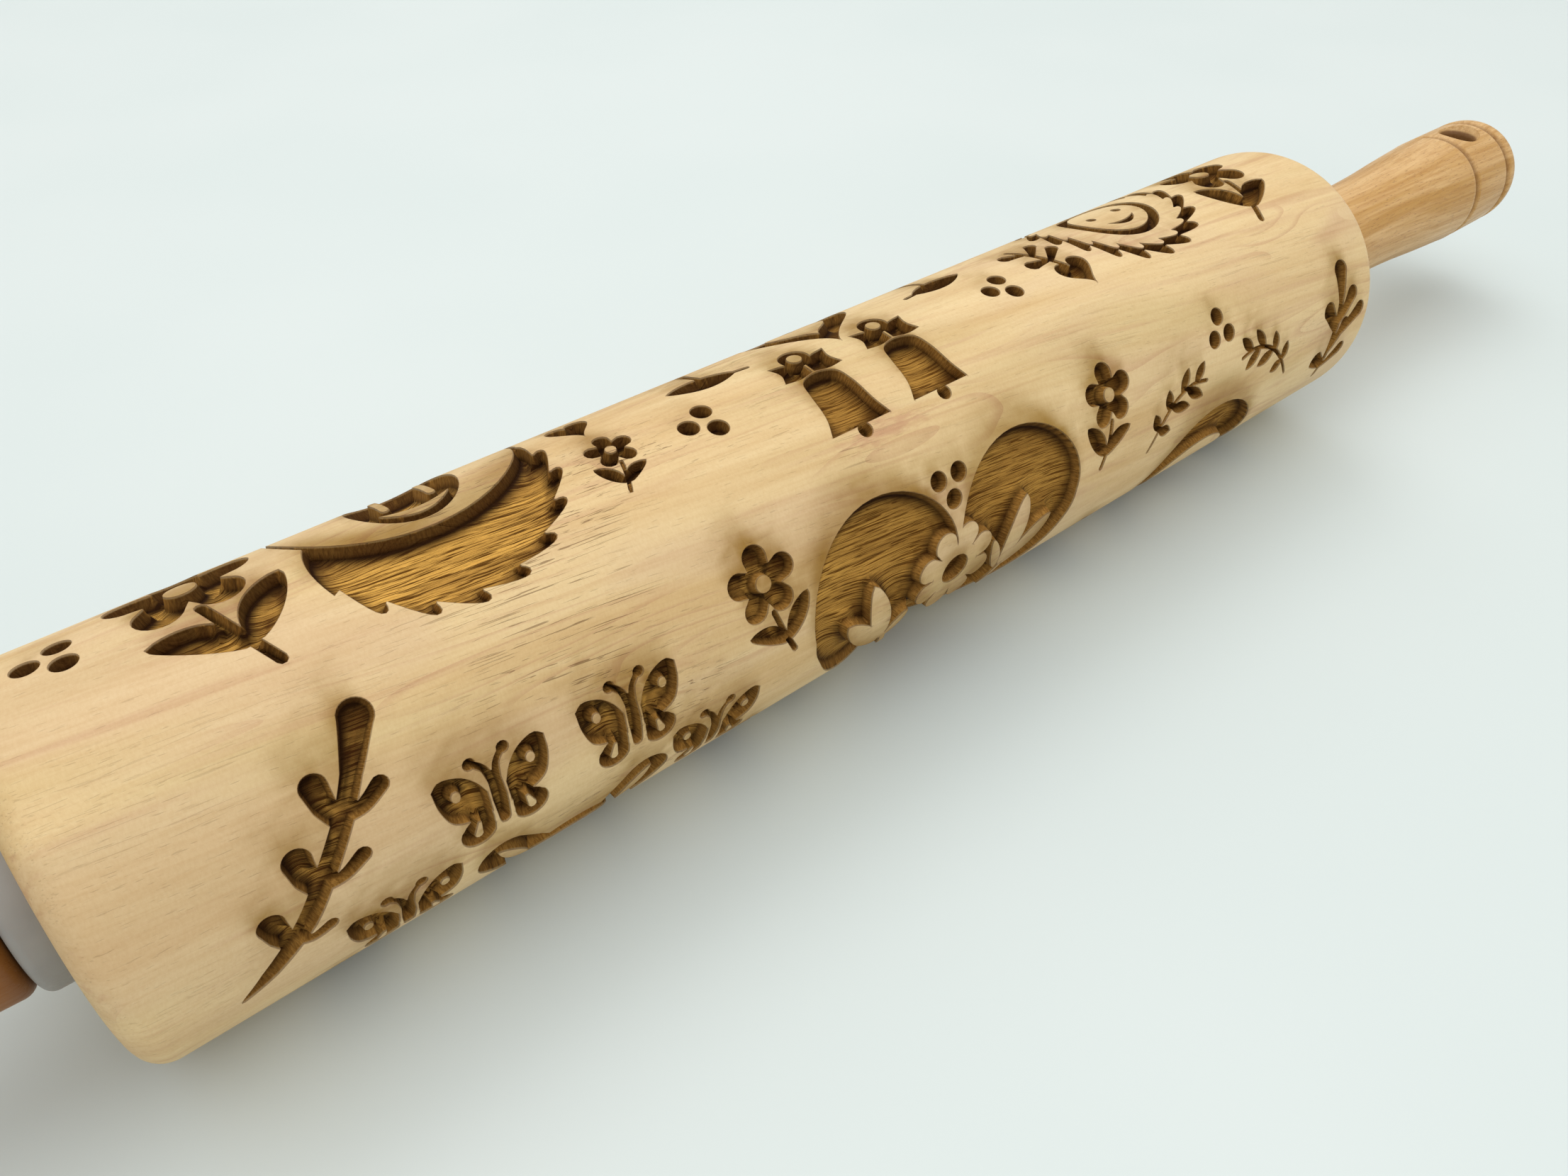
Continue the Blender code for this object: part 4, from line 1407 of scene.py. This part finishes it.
    def _finder(self, corners: np.ndarray, rims: Pairs) -> KDTree:
        """A finder of the nearest place on the rims.

        Args:
            corners: Places that the rims join.
            rims: Pairs of corners.

        Returns:
            The finder, filled with places close together along the rims.
        """
        samples = []
        for start, end in rims:
            way = corners[end] - corners[start]
            count = max(2, math.ceil(np.linalg.norm(way) / self.finder_step))
            samples.append(corners[start] + np.outer(np.linspace(0, 1, count, endpoint=False), way))
        places = np.concatenate(samples)
        finder = KDTree(len(places))
        for i, (x, a) in enumerate(places):
            finder.insert((x, a, 0.0), i)
        finder.balance()
        return finder

    def _inwards(self, rim: np.ndarray, pairs: np.ndarray) -> np.ndarray:
        """The way from each point of the rims into its pocket, mitred at corners.

        Args:
            rim: The points on the rims.
            pairs: The rims' pieces as pairs of them.

        Returns:
            Vectors that move the rims sideways by one millimetre.
        """
        along = rim[pairs[:, 1]] - rim[pairs[:, 0]]
        along /= np.maximum(np.linalg.norm(along, axis=1), 1e-9)[:, None]
        left = np.stack([-along[:, 1], along[:, 0]], 1)
        normals = np.zeros_like(rim)
        np.add.at(normals, pairs[:, 0], left)
        np.add.at(normals, pairs[:, 1], left)
        lengths = np.maximum(np.linalg.norm(normals, axis=1), 1e-9)
        mitre = np.minimum(2.0 / lengths, 2.2)
        return normals / lengths[:, None] * mitre[:, None]

    def _surface_grid(self, shapes: Shapes) -> np.ndarray:
        """Points of the plain surface and of the sheet's border.

        Args:
            shapes: The drawing.

        Returns:
            The points.
        """
        x, a = np.meshgrid(self.columns, self.rows)
        grid = np.stack([x.ravel(), a.ravel()], 1)
        at_seam = (grid[:, 1] < self.low_edge + 1e-6) | (grid[:, 1] > self.high_edge - 1e-6)
        border = (np.abs(grid[:, 0]) > self.reach - 1e-6) | at_seam
        clear = (levels_at(grid, shapes) == Level.SURFACE) & (self._from_rims(grid)[0] > 0.45)
        return grid[border | clear]

    def _floor_grid(self, shapes: Shapes) -> np.ndarray:
        """Points of the pocket floors, in staggered rows.

        Args:
            shapes: The drawing.

        Returns:
            The points.
        """
        rows = np.arange(self.low_edge + 1, self.high_edge - 1, self.floor_step * 0.87)
        columns = np.arange(-self.reach + 1, self.reach - 1, self.floor_step)
        x, a = np.meshgrid(columns, rows)
        x = x + (np.arange(len(rows)) % 2)[:, None] * self.floor_step / 2
        grid = np.stack([x.ravel(), a.ravel()], 1)
        grid = grid[levels_at(grid, shapes) == Level.POCKET]
        return grid[self._from_rims(grid)[0] > self.wall + 0.35]

    def _from_rims(self, points: np.ndarray) -> tuple[np.ndarray, np.ndarray]:
        """How each point lies to the nearest rim.

        Args:
            points: Places on the drawing.

        Returns:
            Their distances from it, and how squarely they lie along the painted shade's way from
            it, -1 to 1.
        """
        distances, squareness = np.zeros(len(points)), np.zeros(len(points))
        # Points past a rim along this way lie under it, turned from the light: painted shade.
        shade_x, shade_a = self.shade_way
        for i, (x, a) in enumerate(points):
            nearest, _, distances[i] = self.near_rim.find((x, a, 0.0))
            along_shade = shade_x * (x - nearest.x) + shade_a * (a - nearest.y)
            squareness[i] = along_shade / max(distances[i], 1e-6)
        return distances, squareness

    def _smoke(self, points: np.ndarray, shapes: Shapes) -> np.ndarray:
        """How strongly smoke stained each point: the more pocket lies just below it, the more.

        Args:
            points: Places on the drawing.
            shapes: The drawing.

        Returns:
            The stains, 0 to 1.
        """
        stain = np.zeros(len(points))
        for below, weight in (
            (1.0, 0.14), (2.2, 0.17), (3.8, 0.19), (5.8, 0.18), (8.2, 0.16), (11.0, 0.12)
        ):
            for aside in (-0.15, 0.2, 0.55):
                shifted = points + np.array([aside * below, below])
                stain += weight / 3 * levels_at(shifted, shapes)
        return stain

    def _narrowness(self, points: np.ndarray, shapes: Shapes) -> np.ndarray:
        """How much surface there is round each point of a pocket.

        Args:
            points: Places in the pockets.
            shapes: The drawing.

        Returns:
            0 in the middle of a wide pocket, nearly 1 in a narrow one.
        """
        wood = np.zeros(len(points))
        for i in range(8):
            turn = math.pi * i / 4
            reach = self.look_round * np.array([math.cos(turn), math.sin(turn)])
            wood += (levels_at(points + reach, shapes) == Level.SURFACE) / 8
        return wood

    def _sheet(
        self, points: np.ndarray, edges: Pairs, rim_count: int, shapes: Shapes
    ) -> bmesh.types.BMesh:
        """Joins the points into a flat sheet with sunk pockets.

        Args:
            points: Places on the drawing, the rims' first.
            edges: The rims.
            rim_count: Number of points on the rims.
            shapes: The drawing.

        Returns:
            The sheet, x and y in millimetres on the drawing and z the height.
        """
        places = [Vector(point) for point in points]
        corners, _, triangles, origins, _, _ = delaunay_2d_cdt(places, edges, [], 0, 0.004)
        flat = np.array([tuple(corner) for corner in corners])
        on_rim = np.array([any(i < rim_count for i in origin) for origin in origins])
        inset, below = self._from_rims(flat)
        inset[on_rim] = 0.0
        pocket = (levels_at(flat, shapes) == Level.POCKET) & ~on_rim
        sunk = np.where(pocket, self._sunk(flat, inset), 0.0)
        smoke = np.zeros(len(flat))
        smoke[~pocket] = self._smoke(flat[~pocket], shapes)
        narrow = np.zeros(len(flat))
        narrow[pocket] = self._narrowness(flat[pocket], shapes)
        marks = {
            "depth": sunk / self.depth,
            "inset": np.where(pocket, np.minimum(inset, self.bowl_reach), 0.0),
            # Which side of its pocket a point lies on, for the painted shade under the upper rims.
            "shade_side": 0.5 + 0.5 * below,
            "edge": on_rim.astype(float),
            "smoke": smoke,
            "narrow": narrow,
        }
        bm = bmesh.new()
        unrolled = bm.loops.layers.uv.new("unrolled")
        layers = [(bm.verts.layers.float.new(name), values) for name, values in marks.items()]
        verts = []
        for i, (x, a) in enumerate(flat):
            vert = bm.verts.new((x, a, -sunk[i]))
            for layer, values in layers:
                vert[layer] = values[i]
            verts.append(vert)
        for triangle in triangles:
            face = bm.faces.new([verts[i] for i in triangle])
            for loop in face.loops:
                loop[unrolled].uv = loop.vert.co.xy
        return bm

    def _sunk(self, flat: np.ndarray, inset: np.ndarray) -> np.ndarray:
        """How deep a pocket is at each point: a rounded lip, a wall and a rippled, bowled floor.

        Args:
            flat: Places on the drawing.
            inset: Their distances from the rim.

        Returns:
            The depths.
        """
        bowl = self.wall_depth + 0.6 * (self.depth - self.wall_depth)
        insets = [0, self.lip, self.wall, 1.6, self.bowl_reach]
        sunk = np.interp(inset, insets, [0, self.lip_depth, self.wall_depth, bowl, self.depth])
        ripple = np.array([noise.noise(Vector((x / 6.0, a / 1.3, 0.0))) for x, a in flat])
        swell = np.array([noise.noise(Vector((x / 14.0, a / 5.0, 7.0))) for x, a in flat])
        on_floor = np.clip((inset - self.wall) / 0.4, 0, 1)
        return sunk + on_floor * (0.16 * ripple + 0.12 * swell)

    def _roll_up(self, bm: bmesh.types.BMesh) -> None:
        """Wraps the sheet round the axis and welds its seam.

        Args:
            bm: The sheet.
        """
        radius = self.radius / MM
        for vert in bm.verts:
            x, a, z = vert.co
            angle = a / radius + math.radians(self.front)
            reach = (radius + z) * MM
            vert.co = (x * MM, -reach * math.sin(angle), self.height + reach * math.cos(angle))
        bmesh.ops.remove_doubles(bm, verts=bm.verts, dist=1e-6)

    def _close(self, bm: bmesh.types.BMesh) -> None:
        """Draws both open rims round the ends, into the sockets and together as the bore.

        Args:
            bm: The rolled sheet.
        """
        end = self.half_length / MM
        start = end - self.rounding
        profile = quarter_round(start, self.rounding, self.radius / MM, self.rounding, 10)[1:]
        profile += [(end, 19.0), (end, 15.0)]
        profile += [(end, self.socket_radius + 0.5), (end - 0.5, self.socket_radius)]
        floor = end - self.socket_depth
        profile += [(floor, self.socket_radius), (floor, self.bore_radius)]
        rings = []
        for side in (-1, 1):
            place = side * self.reach * MM
            ring = [
                edge
                for edge in bm.edges
                if edge.is_boundary and all(abs(vert.co.x - place) < 1e-6 for vert in edge.verts)
            ]
            radius = self.radius / MM
            for along, next_radius in profile:
                made = bmesh.ops.extrude_edge_only(bm, edges=ring)["geom"]
                for vert in (v for v in made if isinstance(v, bmesh.types.BMVert)):
                    scale = next_radius / radius
                    above = (vert.co.z - self.height) * scale
                    vert.co = (side * along * MM, vert.co.y * scale, self.height + above)
                ring = [edge for edge in made if isinstance(edge, bmesh.types.BMEdge)]
                radius = next_radius
            rings += ring
        bmesh.ops.bridge_loops(bm, edges=rings)


@dataclass
class Handle:
    """A turned handle on the end of the axle.

    Attributes:
        label: left or right.
        side: -1 or 1.
        lathe: What turns it.
        finish: Its material.
        drilled: Whether a hanging hole goes through its end.
        neck_radius: Radius at the shoulder, in millimetres, as are the sizes below.
        waist_radius: Radius where it is thinnest.
        grip_radius: Radius where it is thickest.
        shoulder: Rounding of the inner end.
        groove_half: Half the width of a turned groove.
        groove_depth: Its depth.
        grooves_from_end: Places of the grooves, back from the outer end.
        dome: How far the domed end reaches along the axle.
        dome_drop: How far it falls towards the axle.
        bore_radius: Radius of the bore for the insert.
        bore_depth: Its depth.
        hole_radius: Radius of the hanging hole.
        hole_from_end: Place of its middle, back from the outer end.
    """

    label: str
    side: int
    lathe: Lathe
    finish: bpy.types.Material
    drilled: bool
    neck_radius: float = 12.0
    waist_radius: float = 11.3
    grip_radius: float = 13.4
    shoulder: float = 1.9
    groove_half: float = 1.25
    groove_depth: float = 1.15
    grooves_from_end: tuple[float, float] = (23.5, 7.5)
    dome: float = 5.2
    dome_drop: float = 6.4
    bore_radius: float = 6.3
    bore_depth: float = 34.0
    hole_radius: float = 4.0
    hole_from_end: float = 15.5

    def build(self) -> bpy.types.Object:
        """Models the handle.

        Returns:
            The handle.
        """
        low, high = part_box(self.label + "_handle")
        inner, outer = sorted((abs(low.x) / MM, abs(high.x) / MM))
        bm = self.lathe.turn([(x * MM, r * MM) for x, r in self._profile(inner, outer)], self.side)
        piece = finish_piece(
            bm, self.label + "_turned_handle", self.finish, Body.AXLE, self.label + "_handle"
        )
        if self.drilled:
            self._drill(piece, outer - self.hole_from_end)
        return piece

    def _profile(self, inner: float, outer: float) -> Outline:
        """The outline from the rim of the bore, along the grip to the domed end and back.

        Args:
            inner: Place of its inner end along the axle.
            outer: Place of its outer end.

        Returns:
            The outline.
        """
        profile = [(inner, self.bore_radius)]
        edge_at = inner + self.shoulder
        profile += quarter_round(edge_at, -self.shoulder, self.neck_radius, self.shoulder, 6)[::-1]
        length = outer - inner
        # Radii at shares of the length: a neck, a waist and the swell of the grip.
        knots = [(0.03, self.neck_radius), (0.16, 11.6), (0.30, self.waist_radius)]
        knots += [(0.44, 11.7), (0.58, 12.6), (0.7, 13.25)]
        grip = [(inner + share * length, radius) for share, radius in knots]
        first_groove = outer - self.grooves_from_end[0] - 2 * self.groove_half
        profile += curve_through(grip + [(first_groove, self.grip_radius)])[2:]
        for from_end in self.grooves_from_end:
            profile += self._groove(outer - from_end)
        profile += quarter_round(outer - self.dome, self.dome, self.grip_radius, self.dome_drop, 12)
        profile += [(outer, 3.0), (outer, 0.0)]
        return profile + [(inner + self.bore_depth, 0.0), (inner + self.bore_depth, self.bore_radius)]

    def _groove(self, centre: float) -> Outline:
        """A round-bottomed groove with softened edges.

        Args:
            centre: Place of its middle along the axle.

        Returns:
            Its stretch of the outline.
        """
        points = []
        for i in range(13):
            share = -1.3 + 2.6 * i / 12
            fall = 0.5 + 0.5 * math.cos(math.pi * min(1.0, abs(share / 1.15)))
            radius = self.grip_radius - self.groove_depth * fall**0.8
            points.append((centre + share * self.groove_half, radius))
        return points

    def _drill(self, handle: bpy.types.Object, along: float) -> None:
        """Cuts the hanging hole, with flared mouths, straight down through the handle.

        Args:
            handle: The turned handle.
            along: Place of the hole along the axle, in millimetres.
        """
        flare = 1.0
        mouth = math.sqrt(self.grip_radius**2 - (self.hole_radius + flare) ** 2)
        side = [(self.hole_radius, 0.0), (self.hole_radius, mouth - 1.4)]
        side += [(self.hole_radius + 0.25, mouth - 0.6), (self.hole_radius + flare, mouth + 0.2)]
        side += [(self.hole_radius + 3.0, mouth + 3.0)]
        outline = [(r, -z) for r, z in side[:0:-1]] + side
        bm = bmesh.new()
        verts = [bm.verts.new((r * MM, 0.0, z * MM)) for r, z in outline]
        edges = [bm.edges.new(pair) for pair in zip(verts, verts[1:])]
        bmesh.ops.spin(
            bm, geom=verts + edges, cent=(0, 0, 0), axis=(0, 0, 1),
            angle=2 * math.pi, steps=48, use_merge=True,
        )
        bmesh.ops.holes_fill(bm, edges=bm.edges)
        bmesh.ops.recalc_face_normals(bm, faces=bm.faces)
        bmesh.ops.translate(bm, verts=bm.verts, vec=(self.side * along * MM, 0, self.lathe.height))
        mesh = bpy.data.meshes.new("hole_cutter")
        bm.to_mesh(mesh)
        bm.free()
        cutter = bpy.data.objects.new("hole_cutter", mesh)
        bpy.context.scene.collection.objects.link(cutter)
        cut = handle.modifiers.new("hanging_hole", "BOOLEAN")
        cut.object = cutter
        bpy.context.view_layer.update()
        depsgraph = bpy.context.evaluated_depsgraph_get()
        drilled = bpy.data.meshes.new_from_object(handle.evaluated_get(depsgraph))
        handle.modifiers.clear()
        handle.data = drilled
        drilled.shade_smooth()
        drilled.set_sharp_from_angle(angle=math.radians(35))
        bpy.data.objects.remove(cutter)


@dataclass
class EndHardware:
    """The flanged bush, thrust washer and handle insert at one end of the pin.

    Attributes:
        label: left or right.
        side: -1 or 1.
        lathe: What turns them.
        nylon: The bush's finish.
        steel: The washer's and the insert's finish.
        sleeve_radius: Radius of the bush in its socket, in millimetres, as are the sizes below.
        bore_radius: Radius of the bores that run on the axle.
        flange_thickness: Thickness of the bush's flange.
        flange_rounding: Rounding of its outer edge.
        washer_seat_radius: Radius of the seat for the washer.
        washer_seat_depth: Its depth.
        insert_radius: Radius of the insert over its ridges.
        washer_radius: Radius of the washer.
        ridge_pitch: Distance from one ridge of the insert to the next.
    """

    label: str
    side: int
    lathe: Lathe
    nylon: bpy.types.Material
    steel: bpy.types.Material
    sleeve_radius: float = 9.7
    bore_radius: float = 4.3
    flange_thickness: float = 5.0
    flange_rounding: float = 1.5
    washer_seat_radius: float = 7.8
    washer_seat_depth: float = 1.3
    insert_radius: float = 6.0
    washer_radius: float = 7.5
    ridge_pitch: float = 1.5

    def build(self) -> None:
        """Models the three pieces."""
        self._bush()
        self._ring("washer", self.washer_radius, 0.15)
        self._insert()

    def _span(self, node: str) -> tuple[float, float, float]:
        """Finds a node's place and size.

        Args:
            node: The node's name without its side.

        Returns:
            Its start and end outwards from the pin's middle, and its radius, in millimetres.
        """
        low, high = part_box(f"{self.label}_{node}")
        start, end = sorted((abs(low.x) / MM, abs(high.x) / MM))
        return start, end, (high.y - low.y) / 2 / MM

    def _turned(
        self, profile: Outline, name: str, node: str, material: bpy.types.Material
    ) -> None:
        """Turns a profile and ties it to the axle or the roller.

        Args:
            profile: The profile, in millimetres.
            name: The piece's name without its side.
            node: The node's name without its side.
            material: Its finish.
        """
        body = Body.ROLLER if node == "bush" else Body.AXLE
        bm = self.lathe.turn([(x * MM, r * MM) for x, r in profile], self.side)
        finish_piece(bm, f"{self.label}_{name}", material, body, f"{self.label}_{node}")

    def _bush(self) -> None:
        """A sleeve with a rounded flange, a moulding step near its root and a seat for the washer."""
        start, end, radius = self._span("bush")
        root = end - self.flange_thickness
        profile = [(start, self.bore_radius), (start, self.sleeve_radius - 0.6)]
        profile += [(start + 0.6, self.sleeve_radius), (root, self.sleeve_radius)]
        profile += [(root, radius - 0.5), (root + 0.15, radius - 0.15), (root + 0.5, radius)]
        rounding = self.flange_rounding
        profile += quarter_round(end - rounding, rounding, radius, rounding, 8)
        seat = self.washer_seat_radius
        floor = end - self.washer_seat_depth
        profile += [(end, seat + 0.3), (end - 0.3, seat), (floor, seat), (floor, self.bore_radius)]
        self._turned(profile, "flanged_bush", "bush", self.nylon)

    def _ring(self, node: str, outer: float, edge: float) -> None:
        """A flat ring with broken edges.

        Args:
            node: The node's name without its side.
            outer: Its radius.
            edge: How much is broken off its edges.
        """
        start, end, _ = self._span(node)
        profile = [(start, self.bore_radius), (start, outer - edge), (start + edge, outer)]
        profile += [(end - edge, outer), (end, outer - edge), (end, self.bore_radius)]
        self._turned(profile, "thrust_" + node, node, self.steel)

    def _insert(self) -> None:
        """A sleeve with shallow ridges that bite into the wood."""
        start, end, _ = self._span("insert")
        ridges = round((end - start - 2) / self.ridge_pitch)
        profile = [(start, self.bore_radius), (start, self.insert_radius - 0.5)]
        for i in range(ridges):
            root = start + 1 + i * self.ridge_pitch
            profile += [(root, self.insert_radius - 0.45)]
            profile += [(root + self.ridge_pitch / 2, self.insert_radius)]
        profile += [(end, self.insert_radius - 0.5), (end, self.bore_radius)]
        self._turned(profile, "ridged_insert", "insert", self.steel)


@dataclass
class Axle:
    """The drawn steel rod through the pin, with the split rings that keep the barrel in place.

    Attributes:
        lathe: What turns the rod.
        steel: Its finish.
        radius: Its radius, in millimetres, as are the sizes below.
        chamfer: The bevel at its ends.
        groove_depth: Depth of the grooves for the rings.
    """

    lathe: Lathe
    steel: bpy.types.Material
    radius: float = 4.0
    chamfer: float = 0.8
    groove_depth: float = 0.3

    def build(self) -> None:
        """Models the rod and gives the two rings their finish."""
        low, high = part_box("axle_rod")
        half = (high.x - low.x) / 2 / MM
        profile = [(-half, 0.0), (-half, self.radius - self.chamfer), (-half + self.chamfer, self.radius)]
        for label, side in (("left", -1), ("right", 1)):
            ring_low, ring_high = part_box(label + "_ring")
            start, end = ring_low.x / MM, ring_high.x / MM
            neck = self.radius - self.groove_depth
            profile += [(start, self.radius), (start + 0.1, neck), (end - 0.1, neck), (end, self.radius)]
            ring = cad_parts[label + "_ring"]
            ring.data.materials.clear()
            ring.data.materials.append(self.steel)
            LOG.info("%s_ring keeps its solid, on side %d", label, side)
        profile += [(half - self.chamfer, self.radius), (half, self.radius - self.chamfer), (half, 0.0)]
        bm = self.lathe.turn([(x * MM, r * MM) for x, r in profile])
        finish_piece(bm, "drawn_axle_rod", self.steel, Body.AXLE, "axle_rod")


# ---------------------------------------------------------------------------------------------
# Stage.
# ---------------------------------------------------------------------------------------------


@dataclass
class Studio:
    """The table, the soft lights and the camera.

    Attributes:
        axis: The middle of the pin's axle.
        table: Height of the table top, a hair under the barrel.
        table_half: Half the width of the table top.
        lens: Focal length of the camera, in millimetres.
        eye: Place of the camera from the axle's middle, in millimetres.
        right: The camera's way to the right.
        up: The camera's way up.
    """

    axis: Vector
    table: float
    table_half: float = 20.0
    lens: float = 27.03
    eye: Place3 = (-115.1, -126.7, 125.9)
    right: Place3 = (0.7735, -0.6338, 0.0)
    up: Place3 = (0.4183, 0.5105, 0.7513)

    def build(self) -> None:
        """Makes the table, the lights and the camera."""
        self._table()
        self._world()
        self._area("window", (0.5, 1.3, 1.7), 1.4, 10.5, "fbfdff")
        self._area("ceiling", (0.2, 0.0, 2.0), 3.6, 44.0, "fbfdff")
        self._area("fill", (-0.4, -1.3, 0.9), 1.6, 3.5, "fffaf3")
        self._camera()

    def _table(self) -> None:
        """A wide pale table top."""
        bm = bmesh.new()
        bmesh.ops.create_grid(bm, x_segments=1, y_segments=1, size=self.table_half)
        bmesh.ops.translate(bm, verts=bm.verts, vec=(0, 0, self.table))
        mesh = bpy.data.meshes.new("table_top")
        bm.to_mesh(mesh)
        bm.free()
        mesh.materials.append(PaintedTable().material())
        table = bpy.data.objects.new("table_top", mesh)
        bpy.context.scene.collection.objects.link(table)

    def _world(self) -> None:
        """Even light from the whole room."""
        world = bpy.data.worlds.new("room")
        world.use_nodes = True
        shade = world.node_tree.nodes["Background"]
        shade.inputs["Color"].default_value = linear("f3f2ee")
        shade.inputs["Strength"].default_value = 0.58
        bpy.context.scene.world = world

    def _area(self, name: str, place: Place3, size: float, power: float, colour: str) -> None:
        """A square soft light aimed at the pin.

        Args:
            name: The light's name.
            place: Its place, in metres.
            size: Its width, in metres.
            power: Its power in watts.
            colour: Its colour as sRGB hex.
        """
        light = bpy.data.lights.new(name, "AREA")
        light.size = size
        light.energy = power
        light.color = linear(colour)[:3]
        lamp = bpy.data.objects.new(name, light)
        lamp.location = place
        lamp.rotation_mode = "QUATERNION"
        lamp.rotation_quaternion = (self.axis - Vector(place)).to_track_quat("-Z", "Y")
        bpy.context.scene.collection.objects.link(lamp)

    def _camera(self) -> None:
        """A wide lens close to the near end of the pin, looking down along it."""
        camera = bpy.data.cameras.new("camera")
        camera.lens = self.lens
        camera.sensor_width = 36.0
        camera.clip_start = 0.01
        camera.clip_end = 20.0
        eye = bpy.data.objects.new("camera", camera)
        right, up = Vector(self.right), Vector(self.up)
        turn = Matrix((right, up, right.cross(up))).transposed()
        place = self.axis + Vector(self.eye) * MM
        eye.matrix_world = Matrix.Translation(place) @ turn.to_4x4()
        bpy.context.scene.collection.objects.link(eye)
        bpy.context.scene.camera = eye


def main() -> None:
    """Builds the pin's pieces and the studio round them."""
    logging.basicConfig(level=logging.INFO, format="%(name)s: %(message)s")
    bpy.context.scene.view_settings.view_transform = "Standard"
    low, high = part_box("barrel")
    axis = (low + high) / 2
    radius = (high.y - low.y) / 2
    lathe = Lathe(axis.z)
    nylon = MouldedNylon().material()
    steel = DrawnSteel().material()
    engraved = LaserEngravedHardwood().material()
    EngravedBarrel(radius, (high.x - low.x) / 2, axis.z, engraved).build()
    for label, side in (("left", -1), ("right", 1)):
        if side < 0:
            # The left handle's copy of the finish carries painted shade from its shoulder on.
            beech = VarnishedBeech("turned_beech_painted_shade", painted_shade_to=260.0)
        else:
            outer_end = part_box("right_handle")[1].x / MM
            beech = VarnishedBeech(hole_at=outer_end - Handle.hole_from_end)
        Handle(label, side, lathe, beech.material(), drilled=side > 0).build()
        EndHardware(label, side, lathe, nylon, steel).build()
    Axle(lathe, steel).build()
    Studio(axis, axis.z - radius - 0.02 * MM).build()


if __name__ == "__main__":
    main()
